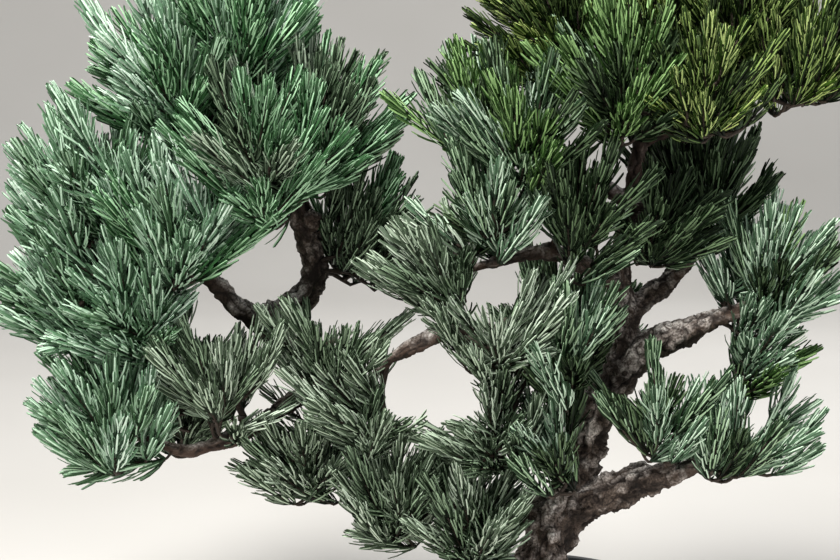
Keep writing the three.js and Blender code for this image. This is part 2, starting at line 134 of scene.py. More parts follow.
# Finer foliage: plumes of needles
PLUMES_FOR_THIRTY_MM = 22.0
AIMS_TRIED = 200
PLUME_SIZES = (1.0, 0.86, 0.72)
SHOOT_LENGTH = 30.0
LONG_SHOOT = 1.35
SHOOT_CURL = 0.1
NEEDLE_LENGTH = 20.5
NEEDLE_WIDTH = 1.5
NEEDLES_EACH = 60
NEEDLE_ROUNDNESS = 0.2
FAN_FLATNESS = 0.65
# Angle from the shoot, in degrees, by place along the plume
FAN_PLACES, FAN_ANGLES = (0.2, 0.6, 0.95, 1.0), (48, 38, 30, 14)
GOLDEN_TURN = 2.39996
PLUME_SPACING = 13.0
INNER_SPACING = 10.0
INNER_LAYER = 0.5
TIP_NEEDLES = 0.8
NEEDLE_ALLOWANCE = 8.0
FEWEST_NEEDLES_LEFT = 0.6
SHORT_BARE_TWIG = 0.25
JOINT_ZONE = 1.15
# What a twig's joint costs: its way along the wood from the limb, and its turn
RUN_COST, TURN_COST = 0.45, 24.0
TURNED_BACK = -0.1
SHOOT_CLEARANCE, TWIG_CLEARANCE, NEEDLE_CLEARANCE = 2.0, 0.5, 0.3
TWIG_RADIUS, TWIG_TIP_RADIUS = 0.75, 0.4
GLAUCOUS, GREY, DEEP, FRESH = "glaucous", "grey_green", "deep_green", "fresh_green"
# Length and width of each family's needles and spacing of its plumes, against the usual ones
NEEDLE_SIZES = {GLAUCOUS: (1.0, 1.15, 1.0), GREY: (1.0, 1.0, 1.0), DEEP: (0.95, 1.0, 1.0),
                FRESH: (0.72, 0.85, 0.8)}

# The camera that sees what the photo shows
EYE = np.array([-63.1, -866.4, 372.3])
CAMERA_DIP = 8.3
PHOTO_WIDTH, FOCAL_PIXELS = 840, 1684

# Where the sky or bare bark shows from the front: middle x and z, half width, half height,
# all measured where the line of sight crosses the plane y = 0
SKY_GAPS = [
    (-144, 248, 14, 13), (-172, 224, 12, 8), (-99, 233, 25, 8), (-58, 190, 22, 18),
    (-25, 242, 14, 9), (60, 230, 14, 9), (83, 206, 17, 9), (37, 155, 11, 11),
    (115, 174, 5, 10), (-59, 302, 6, 20), (143, 327, 27, 10), (40, 297, 4, 5), (47, 287, 3, 3),
    (122, 131, 34, 10), (-128, 120, 30, 6),
]
BARK_PLANE = 15.0
BARK_GAPS = [
    (42, 200, 13, 14), (30, 160, 7, 14), (78, 219, 18, 6), (58, 245, 9, 8), (-128, 256, 9, 14),
    (-160, 235, 8, 10), (55, 138, 20, 7), (10, 112, 14, 15), (-68, 212, 9, 5),
    (0, 262, 14, 5), (-142, 184, 12, 6), (-172, 166, 12, 5),
]
# Where the foliage lies in deep shade
DARK_GAPS = [(29, 297, 27, 26), (56, 318, 18, 9), (-200, 313, 22, 8)]

# Each limb: x, y, z and width at its bends
LIMBS = {
    "trunk": [
        (0, 0, 54, 44), (0, 0, 66, 38), (0, 0, 80, 30), (3, 0, 99, 26), (11, 0, 120, 28),
        (18, 0, 136, 23), (24, 3, 154, 20), (31, 5, 175, 19), (40, 4, 193, 19),
        (45, 3, 211, 16), (44, 5, 230, 12), (42, 8, 257, 11), (46, 6, 284, 9.5),
        (50, 2, 313, 8.5), (55, 0, 342, 6.5), (57, 0, 366, 5), (58, 2, 388, 3.5)],
    "left_limb": [
        (11, 2, 119, 20), (-15, 14, 120, 19), (-50, 22, 123, 18), (-84, 24, 132, 17)],
    "left_limb_rise": [
        (-82, 24, 131, 17), (-102, 23, 156, 17), (-116, 24, 184, 17),
        (-133, 26, 204, 17.5), (-147, 28, 221, 17)],
    "left_leader": [
        (-144, 28, 217, 16), (-129, 30, 230, 15), (-119, 32, 247, 14.5),
        (-125, 33, 269, 14), (-134, 32, 303, 9), (-148, 30, 335, 6), (-155, 31, 358, 4)],
    "left_arm": [
        (-145, 28, 218, 14), (-160, 24, 227, 12), (-172, 20, 241, 10),
        (-192, 18, 254, 8), (-217, 17, 266, 6), (-234, 16, 280, 4)],
    "left_low_bough": [
        (-116, 24, 184, 13), (-128, 13, 181, 11), (-144, 5, 171, 10.5),
        (-165, 2, 160, 9), (-187, 0, 155, 6.5), (-208, 0, 162, 4)],
    "middle_left_bough": [
        (29, 5, 173, 13), (10, -10, 191, 12), (-12, -19, 205, 11), (-33, -25, 216, 10.5),
        (-50, -26, 222, 10), (-67, -24, 215, 8), (-80, -19, 206, 5)],
    "upper_left_bough": [
        (43, 7, 240, 10), (24, -4, 253, 9), (3, -12, 262, 8.5), (-17, -18, 260, 7),
        (-36, -22, 255, 4.5)],
    "top_left_bough": [
        (46, 6, 286, 8), (29, -4, 296, 7), (8, -13, 307, 6), (-17, -17, 318, 4)],
    "low_right_bough": [
        (13, 0, 124, 24), (32, -8, 132, 21), (49, -15, 142, 19), (63, -20, 147, 13),
        (82, -22, 153, 8)],
    "middle_right_bough": [
        (42, 3, 199, 18), (58, -4, 212, 15.5), (76, -9, 221, 13.5), (93, -13, 229, 9.5),
        (108, -13, 236, 5)],
    "upper_right_bough": [
        (44, 5, 226, 13), (56, 14, 234, 12.5), (69, 22, 242, 11), (82, 29, 254, 7.5),
        (88, 31, 272, 4.5)],
    "top_right_bough": [
        (51, 2, 320, 8), (74, -7, 328, 8), (98, -11, 338, 6.5), (118, -13, 347, 4)],
    "back_low_bough": [
        (24, 4, 152, 13), (22, 30, 161, 11), (19, 54, 174, 8), (19, 70, 192, 5)],
    "back_top_bough": [
        (42, 8, 266, 9), (55, 32, 277, 8), (66, 56, 297, 6), (72, 68, 318, 4)],
    "left_back_bough": [
        (-126, 33, 272, 11), (-131, 52, 287, 9), (-141, 72, 305, 6.5), (-150, 84, 323, 4)],
}

# Knots and the ends of cut branches on the bark: middle, radius, direction, length
KNOTS = [
    ((-15, -20, 208), 6.0, (0.1, -1, -0.35), 5), ((-120, 24, 274), 5.0, (-0.2, -0.8, 0.7), 7),
    ((25, 0, 158), 8.0, (0.9, -0.5, 0), 5), ((68, -24, 150), 5.0, (0.5, -1, -0.3), 5),
    ((6, -8, 112), 7.0, (-0.6, -1, 0.2), 8), ((20, -6, 132), 7.5, (0.3, -1, 0.1), 6),
    ((-146, 24, 220), 6.5, (-0.4, -1, -0.5), 5), ((-136, 27, 226), 6.0, (0.3, -1, 0.1), 3),
    ((44, 2, 206), 6.0, (0.4, -1, 0.3), 6), ((74, 22, 247), 4.0, (0.6, -1, -0.2), 5),
    ((82, -14, 223), 4.5, (0.3, -1, 0.8), 5), ((-158, 2, 164), 4.0, (0, -1, -0.8), 5),
]

# Each mass of foliage: the limb that carries it, the middle of its space, its radius, its
# family, and its shares of lush, light and dark plumes where they aren't the usual ones;
# the light and dark shares put painted light and painted shade where the crown is lit or shaded
USUAL_SHARES = (0.0, 0.24, 0.25)
MASSES = [
    ("crown_top", "trunk", 49, 8, 398, 40, FRESH, 0.15, 0.15, 0.4),
    ("crown_front", "trunk", 31, -34, 354, 35, DEEP, 0.5, 0.0, 0.3),
    ("crown_back", "back_top_bough", 75, 72, 345, 46, DEEP, 0.1, 0.1, 0.6),
    ("top_left_high", "trunk", 2, 4, 380, 38, FRESH, 0.15, 0.15, 0.3),
    ("top_left_tip", "top_left_bough", -35, -14, 336, 33, DEEP, 0.45, 0.2, 0.15),
    ("top_left_inner", "top_left_bough", -9, -32, 329, 34, DEEP, 0.3, 0.15, 0.25),
    ("upper_left_tip", "upper_left_bough", -54, -26, 254, 33, GREY),
    ("upper_left_high", "upper_left_bough", -28, -26, 289, 31, DEEP),
    ("top_left_low", "upper_left_bough", 17, -32, 290, 31, DEEP, 0.0, 0.0, 0.6),
    ("top_right_tip", "top_right_bough", 133, -16, 361, 35, FRESH, 0.15, 0.2, 0.35),
    ("top_right_high", "top_right_bough", 96, -2, 392, 39, FRESH, 0.2, 0.15, 0.35),
    ("top_right_inner", "top_right_bough", 72, -34, 352, 33, FRESH, 0.12, 0.18, 0.45),
    ("upper_right_tip", "upper_right_bough", 81, 32, 295, 38, DEEP, 0.0, 0.0, 0.75),
    ("upper_right_front", "trunk", 60, -14, 280, 29, DEEP, 0.0, 0.0, 0.85),
    ("middle_right_tip", "middle_right_bough", 117, -12, 254, 35, DEEP, 0.2, 0.65, 0.05),
    ("middle_right_low", "middle_right_bough", 108, -18, 211, 32, DEEP, 0.2, 0.65, 0.05),
    ("low_right_tip", "low_right_bough", 106, -24, 168, 35, DEEP, 0.1, 0.6, 0.1),
    ("low_right_inner", "low_right_bough", 54, -32, 188, 33, DEEP, 0.0, 0.5, 0.15),
    ("middle_back", "back_low_bough", 20, 80, 210, 43, DEEP, 0.0, 0.1, 0.6),
    ("middle_left_inner", "middle_left_bough", -20, -40, 232, 31, GREY),
    ("middle_left_under", "middle_left_bough", -30, -30, 178, 32, GREY),
    ("middle_front", "middle_left_bough", 18, -37, 218, 31, DEEP),
    ("middle_low", "trunk", 4, -36, 166, 30, DEEP),
    ("foot_left", "left_limb", -38, -28, 129, 33, GREY),
    ("left_limb_front", "left_limb", -77, -14, 137, 35, GREY),
    ("left_fork_front", "left_limb_rise", -107, -6, 215, 31, GREY),
    ("left_limb_upper", "middle_left_bough", -96, -12, 184, 33, GREY),
    ("left_limb_low", "left_limb_rise", -127, 2, 150, 33, GREY),
    ("left_low_tip", "left_low_bough", -228, 0, 178, 39, GLAUCOUS, 0.0, 0.1, 0.35),
    ("left_low_inner", "left_low_bough", -168, -12, 196, 35, GREY),
    ("left_low_back", "left_low_bough", -192, 60, 178, 41, GREY, 0.0, 0.1, 0.5),
    ("left_arm_tip", "left_arm", -236, 14, 298, 39, GLAUCOUS),
    ("left_arm_far", "left_arm", -257, 14, 241, 36, GLAUCOUS),
    ("left_arm_inner", "left_arm", -182, -6, 282, 38, GLAUCOUS, 0.25, 0.25, 0.15),
    ("left_arm_low", "left_arm", -214, -2, 230, 35, GLAUCOUS),
    ("left_arm_back", "left_arm", -226, 76, 258, 43, GREY, 0.0, 0.1, 0.5),
    ("leader_top", "left_leader", -157, 30, 382, 41, GLAUCOUS, 0.75, 0.1, 0.08),
    ("leader_left", "left_leader", -197, 24, 356, 41, GLAUCOUS, 0.6, 0.2, 0.1),
    ("leader_front", "left_leader", -145, -10, 315, 40, GREY, 0.65, 0.15, 0.1),
    ("leader_right", "left_leader", -113, 22, 330, 38, GREY, 0.55, 0.1, 0.25),
    ("leader_low", "left_leader", -88, 46, 272, 38, GREY, 0.1, 0.0, 0.8),
    ("leader_back", "left_back_bough", -154, 90, 344, 45, GREY, 0.4, 0.1, 0.4),
]

# Long arching shoots: where the furthest needle ends, the way it points, the shoot's length
LONG_SHOOTS = {
    "low_right_tip": [
        ((146, -14, 180), (1, 0.05, 0.5), 38), ((128, -30, 203), (0.45, -0.1, 1), 38)],
    "middle_right_low": [((137, -12, 228), (1, 0, 0.35), 16)],
    "middle_right_tip": [
        ((149, -12, 254), (1, 0, 0.25), 38), ((136, -20, 276), (0.6, -0.1, 1), 38)],
    "top_right_tip": [((158, -12, 352), (1, 0, 0.2), 38), ((155, -16, 372), (1, 0, 0.5), 38)],
    "left_low_tip": [((-250, -4, 138), (-1, 0, -0.25), 38), ((-264, -4, 170), (-1, 0, 0.4), 38)],
    "left_arm_tip": [
        ((-247, -16, 342), (-0.5, -0.25, 0.87), 62), ((-277, 8, 300), (-1, 0, 0.7), 38),
        ((-254, -18, 300), (-1, -0.25, 0.45), 34)],
    "left_arm_far": [((-287, 8, 236), (-1, 0, -0.1), 30)],
    "left_arm_low": [((-274, -12, 277), (-1, -0.2, 0.68), 48)],
    "left_limb_upper": [
        ((-83, -22, 208), (0.2, -0.15, 1), 14), ((-92, -26, 212), (0.1, -0.15, 1), 16)],
    "left_arm_inner": [((-196, -14, 322), (-0.5, -0.1, 1), 38)],
    "leader_left": [((-238, 18, 388), (-0.7, 0, 1), 38), ((-236, 14, 362), (-1, 0, 0.6), 38)],
    "leader_front": [
        ((-167, -8, 272), (-1, -0.3, 0.05), 12), ((-152, -14, 268), (-0.8, -0.4, -0.4), 10)],
    "top_left_tip": [((-66, -18, 352), (-0.5, 0, 1), 38), ((-50, -20, 366), (-0.3, 0, 1), 38)],
    "upper_left_tip": [
        ((-74, -30, 277), (-1, -0.1, 0.5), 22), ((-76, -32, 258), (-0.3, -0.1, 1), 20)],
    "leader_right": [((-82, 4, 356), (0.7, -0.2, 1), 38)],
}
LONG_SHOOT_REACH = 25.0

# Blade and pale band of the plain, light, dark and lush plumes of each family; the light and
# dark ones are paler and darker copies, painted light and painted shade
NEEDLE_TINTS = {
    GLAUCOUS: [
        ((0.1, 0.2, 0.108), (0.6, 0.82, 0.62)), ((0.155, 0.28, 0.172), (0.74, 0.92, 0.76)),
        ((0.05, 0.115, 0.05), (0.42, 0.62, 0.42)), ((0.036, 0.11, 0.038), (0.4, 0.66, 0.39))],
    GREY: [
        ((0.068, 0.103, 0.06), (0.52, 0.64, 0.48)), ((0.09, 0.132, 0.082), (0.64, 0.75, 0.6)),
        ((0.026, 0.046, 0.023), (0.28, 0.39, 0.25)), ((0.04, 0.112, 0.042), (0.42, 0.67, 0.42))],
    DEEP: [
        ((0.022, 0.052, 0.021), (0.38, 0.54, 0.34)), ((0.082, 0.155, 0.088), (0.66, 0.84, 0.65)),
        ((0.008, 0.02, 0.006), (0.13, 0.2, 0.1)), ((0.026, 0.068, 0.012), (0.32, 0.52, 0.2))],
    FRESH: [
        ((0.013, 0.034, 0.004), (0.29, 0.41, 0.12)), ((0.028, 0.064, 0.008), (0.49, 0.61, 0.22)),
        ((0.005, 0.014, 0.002), (0.1, 0.16, 0.05)), ((0.045, 0.098, 0.009), (0.52, 0.65, 0.21))],
}
# Light plumes are painted light and dark plumes painted shade, besides some spread of tone by
# chance
PLAIN, PALE_AND_LIT, DARK_AND_SHADED, LUSH = range(4)
SHADE_SHARES = {GLAUCOUS: 0.5, GREY: 0.4, DEEP: 0.35, FRESH: 0.35}
# A needle: place along it and share of its width at each ring
NEEDLE_RINGS = ((0.0, 0.5), (0.32, 0.9), (0.68, 1.0), (0.95, 0.88))
PALE_SHARE = 0.4
FOLD_DEPTH = 0.34
SHADE, BLADE, BAND = range(3)
# A piece with more triangles than this takes no further mass, so it stays under 200,000
FULL_PIECE = 148000


# Small tools


def size_of(vectors):
    return np.linalg.norm(vectors, axis=-1)


def unit(vectors):
    return vectors / np.linalg.norm(vectors, axis=-1, keepdims=True)


def across(direction):
    side = UP if abs(direction[2]) < 0.9 else np.array([1.0, 0.0, 0.0])
    return unit(np.cross(side, direction))


def smoothstep(low, high, values):
    share = np.clip((values - low) / (high - low), 0, 1)
    return share * share * (3 - 2 * share)


def seeded_random(seed):
    """The solids' own sequence of random numbers."""
    state = seed

    def draw():
        nonlocal state
        state = (state + 0x6D2B79F5) & 0xFFFFFFFF
        mixed = ((state ^ (state >> 15)) * (1 | state)) & 0xFFFFFFFF
        more = ((mixed ^ (mixed >> 7)) * (61 | mixed)) & 0xFFFFFFFF
        mixed = ((mixed + more) & 0xFFFFFFFF) ^ mixed
        return (mixed ^ (mixed >> 14)) / 2**32

    return draw


def lattice(cells, salt):
    """A random number from 0 to 1 for each whole-numbered cell."""
    x, y, z = (cells[..., i].astype(np.int64) for i in range(3))
    mixed = (x * 374761393 + y * 668265263 + z * 2246822519 + salt * 3266489917) & 0xFFFFFFFF
    mixed = ((mixed ^ (mixed >> 13)) * 1274126177) & 0xFFFFFFFF
    mixed = ((mixed ^ (mixed >> 15)) * 2246822519) & 0xFFFFFFFF
    return ((mixed ^ (mixed >> 16)) & 0xFFFFFF) / 0x1000000


def noise(points, salt=0):
    """Smooth noise from -1 to 1 with a wavelength of about 2."""
    base = np.floor(points)
    share = points - base
    share = share * share * (3 - 2 * share)
    total = np.zeros(len(points))
    for corner in np.ndindex(2, 2, 2):
        weight = np.prod(np.where(np.array(corner) == 1, share, 1 - share), axis=1)
        total += weight * lattice(base + corner, salt)
    return 2 * total - 1


def rough_noise(points, octaves, salt=0):
    return sum(noise(points * 2**i, salt + i) / 2**i for i in range(octaves))


def terraces(values):
    """Values turned into steps, and how near each is to the lip of a step."""
    base = np.floor(values)
    climb = smoothstep(*STEP_EDGES, values - base)
    return base + climb, 4 * climb * (1 - climb)


def link(name, data, materials=()):
    piece = bpy.data.objects.new(name, data)
    bpy.context.scene.collection.objects.link(piece)
    for material in materials:
        data.materials.append(material)
    return piece


def add_piece(name, points, faces, materials=(), looks=None, smooth=False):
    """An object of triangles, from millimetres. Looks are the triangles' material numbers."""
    mesh = bpy.data.meshes.new(name)
    mesh.vertices.add(len(points))
    mesh.vertices.foreach_set("co", (np.asarray(points) * MM).astype(np.float32).ravel())
    mesh.loops.add(3 * len(faces))
    mesh.loops.foreach_set("vertex_index", np.asarray(faces, np.int32).ravel())
    mesh.polygons.add(len(faces))
    mesh.polygons.foreach_set("loop_start", np.arange(0, 3 * len(faces), 3, dtype=np.int32))
    if looks is not None:
        mesh.polygons.foreach_set("material_index", np.asarray(looks, np.int32))
    mesh.polygons.foreach_set("use_smooth", np.full(len(faces), smooth))
    mesh.update(calc_edges=True)
    return link(name, mesh, materials)


def finish_piece(piece, nodes=()):
    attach(piece, "root")
    if nodes:
        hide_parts(*nodes)


# Lines through space: limbs, stems and twigs


def curve_points(bends, shares):
    """Places on the smooth curve through the bends, as the solids' limbs run."""
    points = np.array(bends, float)[:, :3]
    last = len(points) - 1
    padded = np.vstack([2 * points[0] - points[1], points, 2 * points[-1] - points[-2]])
    i = np.minimum((shares * last).astype(int), last - 1)
    w = (shares * last - i)[:, None]
    before, start, end, after = (padded[i + k] for k in range(4))
    out = (end - before) / 2
    into = (after - start) / 2
    cubic = 2 * start - 2 * end + out + into
    square = -3 * start + 3 * end - 2 * out - into
    return cubic * w**3 + square * w**2 + out * w + start


def curve_length(bends):
    line = curve_points(bends, np.linspace(0, 1, 201))
    return float(size_of(np.diff(line, axis=0)).sum())


def sample_limb(name, step):
    """Points, radii and distances along a limb."""
    bends = LIMBS[name]
    count = max(3, int(curve_length(bends) / step + 0.5))
    shares = np.linspace(0, 1, count + 1)
    radii = np.interp(shares * (len(bends) - 1), range(len(bends)), [b[3] / 2 for b in bends])
    points = curve_points(bends, shares)
    run = np.concatenate([[0], np.cumsum(size_of(np.diff(points, axis=0)))])
    return points, radii, run


def frames_along(points):
    """Direction, one side and the other side at each point, with no twist."""
    along = unit(np.gradient(points, axis=0))
    sides = [across(along[0])]
    for direction in along[1:]:
        sides.append(unit(sides[-1] - direction * sides[-1].dot(direction)))
    sides = np.array(sides)
    return along, sides, np.cross(along, sides)


def closed_rings(rings, start, end):
    """Rings of points as a closed skin with a point at each end: points and triangles."""
    count, sides = rings.shape[:2]
    i, j = np.meshgrid(np.arange(count - 1), np.arange(sides), indexing="ij")
    a = (i * sides + j).ravel()
    b = (i * sides + (j + 1) % sides).ravel()
    k = np.arange(sides)
    top, first, last = (count - 1) * sides, count * sides, count * sides + 1
    faces = np.vstack([
        np.stack([a, b, b + sides], 1), np.stack([a, b + sides, a + sides], 1),
        np.stack([np.full(sides, first), (k + 1) % sides, k], 1),
        np.stack([np.full(sides, last), top + k, top + (k + 1) % sides], 1)])
    return np.vstack([rings.reshape(-1, 3), start, end]), faces


def tube(points, radii, sides, swell=None):
    _, side, other = frames_along(points)
    angles = np.linspace(0, 2 * math.pi, sides, endpoint=False)
    reach = np.broadcast_to(np.asarray(radii, float)[:, None], (len(points), sides))
    if swell is not None:
        reach = reach * swell(points[:, None, 2], angles[None, :])
    rings = (
        points[:, None]
        + side[:, None] * (np.cos(angles)[None, :, None] * reach[..., None])
        + other[:, None] * (np.sin(angles)[None, :, None] * reach[..., None]))
    return closed_rings(rings, points[0], points[-1])


def joined(parts):
    """Several (points, faces) as one."""
    starts = np.cumsum([0] + [len(points) for points, _ in parts])
    return (np.vstack([points for points, _ in parts]),
            np.vstack([faces + start for (_, faces), start in zip(parts, starts)]))


# Materials


class Look:
    """A material made of noise, ramps and bumps on one shader."""

    def __init__(self, name, color, roughness):
        self.material = bpy.data.materials.new(name)
        self.material.use_nodes = True
        self.nodes = self.material.node_tree.nodes
        self.shader = self.nodes["Principled BSDF"].inputs
        self.paint(color)
        self.shader["Roughness"].default_value = roughness

    def put(self, socket, value):
        """Link a socket to an output, or set it to a number or a colour."""
        if isinstance(value, bpy.types.NodeSocket):
            self.material.node_tree.links.new(value, socket)
        else:
            socket.default_value = (*value, 1) if isinstance(value, tuple) else value

    def node(self, kind, settings=(), **sockets):
        """A new node. In the names of its sockets an underscore stands for a space."""
        node = self.nodes.new("ShaderNode" + kind)
        for name, value in dict(settings).items():
            setattr(node, name, value)
        for name, value in sockets.items():
            self.put(node.inputs[name.replace("_", " ")], value)
        return node

    def noise(self, scale, detail=4.0):
        place = self.node("TexCoord").outputs["Object"]
        return self.node("TexNoise", Vector=place, Scale=scale, Detail=detail).outputs["Fac"]

    def ramp(self, source, *stops):
        ramp = self.node("ValToRGB", Fac=source)
        elements = ramp.color_ramp.elements
        while len(elements) < len(stops):
            elements.new(0.5)
        for element, (place, color) in zip(elements, stops):
            element.position = place
            element.color = (*color, 1)
        return ramp.outputs["Color"]

    def attribute(self, name, output="Fac"):
        return self.node("Attribute", {"attribute_name": name}).outputs[output]

    def mix(self, share, first, second, mode="MIX"):
        mix = self.node("Mix", {"data_type": "RGBA", "blend_type": mode})
        for i, value in ((0, share), (6, first), (7, second)):
            self.put(mix.inputs[i], value)
        return mix.outputs[2]

    def paint(self, color):
        self.put(self.shader["Base Color"], color)

    def roughen(self, source, low, high):
        spread = self.node("MapRange", Value=source, To_Min=low, To_Max=high)
        self.put(self.shader["Roughness"], spread.outputs["Result"])

    def bump(self, source, distance, strength):
        bump = self.node("Bump", Height=source, Distance=distance, Strength=strength)
        self.put(self.shader["Normal"], bump.outputs["Normal"])


def bark_plates(look):
    """Long plates along a limb: how far a place is from a crack, and a colour by plate."""
    mapping = look.node("Mapping", Vector=look.attribute("limb_place", "Vector"))
    mapping.inputs["Scale"].default_value = (1.0, 1.0, 0.5)
    place = mapping.outputs["Vector"]
    cells = [look.node("TexVoronoi", {"feature": feature}, Scale=190, Vector=place)
             for feature in ("DISTANCE_TO_EDGE", "F1")]
    return cells[0].outputs["Distance"], cells[1].outputs["Color"]


def bark_material():
    look = Look("bark", (0.12, 0.1, 0.085), 0.9)
    plates, plate_tone = bark_plates(look)
    # The tone carries the plates' own colour and painted light: the pale end of the ramp is a
    # painted highlight on bark that faces up, the near-black end partly painted shade on its
    # underside
    tone = look.mix(0.3, look.attribute("tone"), plate_tone)
    color = look.ramp(tone, (0.1, (0.02, 0.013, 0.009)), (0.36, (0.11, 0.083, 0.067)),
                      (0.6, (0.4, 0.36, 0.335)), (0.9, (0.88, 0.85, 0.82)))
    fine = look.noise(900, 5)
    flecks = look.ramp(fine, (0.36, (0.42, 0.38, 0.35)), (0.64, (1.55, 1.53, 1.51)))
    color = look.mix(1.0, color, flecks, "MULTIPLY")
    # The cracks between plates are darkened: partly dark bark, partly painted shade in them
    cracks = look.ramp(plates, (0.0, (0.12, 0.085, 0.07)), (0.13, WHITE))
    some = look.ramp(look.noise(150, 2), (0.42, BLACK), (0.6, WHITE))
    color = look.mix(1.0, color, look.mix(some, WHITE, cracks), "MULTIPLY")
    color = look.mix(look.attribute("young"), color, (0.075, 0.042, 0.029))
    # Dark bark and painted shade in the crevices
    look.paint(look.mix(look.attribute("crevice"), color, (0.02, 0.013, 0.01)))
    look.roughen(fine, 0.8, 1.0)
    height = look.ramp(plates, (0.0, BLACK), (0.14, (0.8, 0.8, 0.8)), (0.5, WHITE))
    look.bump(look.mix(0.5, height, fine), 0.001, 0.8)
    return look.material


def speckled_material(name, color, roughness, scale, detail, stops, *bump):
    """A few colours dealt out by noise, which also raises the bumps, if there are any."""
    look = Look(name, color, roughness)
    spots = look.noise(scale, detail)
    look.paint(look.ramp(spots, *stops))
    if bump:
        look.bump(spots, *bump)
    return look.material


def twig_material():
    stops = [(0.3, (0.02, 0.014, 0.01)), (0.55, (0.05, 0.034, 0.024)),
             (0.8, (0.1, 0.075, 0.058))]
    return speckled_material("twig_bark", (0.07, 0.045, 0.03), 0.85, 700, 4, stops, 0.0003, 0.7)


def grain_material(name, color):
    darker = tuple(0.55 * c for c in color)
    lighter = tuple(min(1.0, 1.35 * c) for c in color)
    stops = [(0.3, darker), (0.52, color), (0.75, lighter)]
    return speckled_material(name, color, 0.9, 620, 4, stops, 0.0004, 0.6)


def soil_material():
    stops = [(0.35, (0.02, 0.013, 0.01)), (0.65, (0.085, 0.055, 0.038))]
    return speckled_material("dark_soil", (0.05, 0.032, 0.022), 1.0, 420, 6, stops, 0.0012, 1.0)


def needle_material(name, color):
    look = Look(name, color, 0.5)
    look.roughen(look.noise(260, 3), 0.38, 0.62)
    look.shader["Specular IOR Level"].default_value = 0.22
    return look.material


def pot_material():
    look = Look("pot_stoneware", (0.045, 0.05, 0.056), 0.6)
    grain = look.noise(1400, 3)
    color = look.ramp(look.noise(45, 4), (0.35, (0.036, 0.04, 0.046)),
                      (0.65, (0.062, 0.066, 0.074)))
    specks = look.ramp(grain, (0.35, (0.75, 0.75, 0.75)), (0.7, (1.35, 1.33, 1.3)))
    look.paint(look.mix(1.0, color, specks, "MULTIPLY"))
    look.roughen(grain, 0.5, 0.78)
    look.bump(grain, 0.00025, 0.5)
    return look.material


# Pot and gravel


def pot_profile():
    """From the middle of the underside out, over the lip and back to the middle."""
    corners = np.array([
        (0, 0, 0), (POT_FOOT_RADIUS, 0, FOOT_ROUNDING), (POT_TOP_RADIUS, POT_HEIGHT, LIP_ROUNDING),
        (POT_TOP_RADIUS - POT_WALL, POT_HEIGHT, LIP_ROUNDING),
        (POT_FOOT_RADIUS - POT_WALL, POT_FLOOR, INNER_ROUNDING), (0, POT_FLOOR, 0)])
    places, rounding = corners[:, :2], corners[:, 2]
    profile = [places[0]]
    for i in range(1, len(corners) - 1):
        here = places[i]
        start, end = (here + unit(places[j] - here) * rounding[i] for j in (i - 1, i + 1))
        for w in np.linspace(0, 1, ROUNDING_STEPS):
            profile.append((1 - w) ** 2 * start + 2 * w * (1 - w) * here + w * w * end)
    return np.array(profile + [places[-1]])


def make_pot():
    turn = np.linspace(0, 2 * math.pi, POT_SIDES, endpoint=False)
    profile = pot_profile()
    reach, height = profile[1:-1, :1], profile[1:-1, 1:]
    rings = np.stack([reach * np.cos(turn), reach * np.sin(turn),
                      np.broadcast_to(height, (len(height), POT_SIDES))], axis=-1)
    ends = [(0, 0, profile[i][1]) for i in (0, -1)]
    pot = add_piece("pot_shell", *closed_rings(rings, *ends), [pot_material()])
    for i in range(DRAIN_HOLES):
        angle = 2 * math.pi * i / DRAIN_HOLES
        centre = np.array([math.cos(angle), math.sin(angle), 0]) * DRAIN_CIRCLE
        line = centre + UP * np.linspace(-POT_FLOOR, 2 * POT_FLOOR, 4)[:, None]
        drill = add_piece("drill", *tube(line, [DRAIN_RADIUS] * 4, 40))
        cut = pot.modifiers.new("hole", "BOOLEAN")
        cut.operation, cut.object, cut.solver = "DIFFERENCE", drill, "EXACT"
        final = bpy.data.meshes.new_from_object(
            pot.evaluated_get(bpy.context.evaluated_depsgraph_get()))
        pot.modifiers.clear()
        pot.data = final
        bpy.data.objects.remove(drill)
    pot.data.set_sharp_from_angle(angle=math.radians(50))
    pot.data.polygons.foreach_set("use_smooth", np.full(len(pot.data.polygons), True))
    finish_piece(pot, ["pot"])


def ball():
    """A ball of 80 triangles: a solid of 20 with every triangle split in four."""
    golden = (1 + 5**0.5) / 2
    points = []
    for a in (-1, 1):
        for b in (-golden, golden):
            points += [(0, a, b), (a, b, 0), (b, 0, a)]
    points = unit(np.array(points, float))
    faces = []
    for i, j, k in itertools.combinations(range(12), 3):
        sides = [points[i] - points[j], points[j] - points[k], points[k] - points[i]]
        if max(size_of(side) for side in sides) < 1.2:
            flip = np.cross(sides[0], sides[1]).dot(points[i]) < 0
            faces.append((i, k, j) if flip else (i, j, k))
    corners, middles, finer = list(points), {}, []

    def middle(a, b):
        key = (min(a, b), max(a, b))
        if key not in middles:
            middles[key] = len(corners)
            corners.append(unit(corners[a] + corners[b]))
        return middles[key]

    for a, b, c in faces:
        ab, bc, ca = middle(a, b), middle(b, c), middle(c, a)
        finer += [(a, ab, ca), (b, bc, ab), (c, ca, bc), (ab, bc, ca)]
    return np.array(corners), np.array(finer)


def random_turn(generator):
    turn, _ = np.linalg.qr(generator.normal(size=(3, 3)))
    return turn * np.sign(np.linalg.det(turn))


def soil_height(distance):
    edge = POT_TOP_RADIUS - POT_WALL
    slope = SOIL_EDGE_DROP / (edge - SOIL_CROWN_RADIUS)
    return SOIL_TOP - slope * np.maximum(distance - SOIL_CROWN_RADIUS, 0)


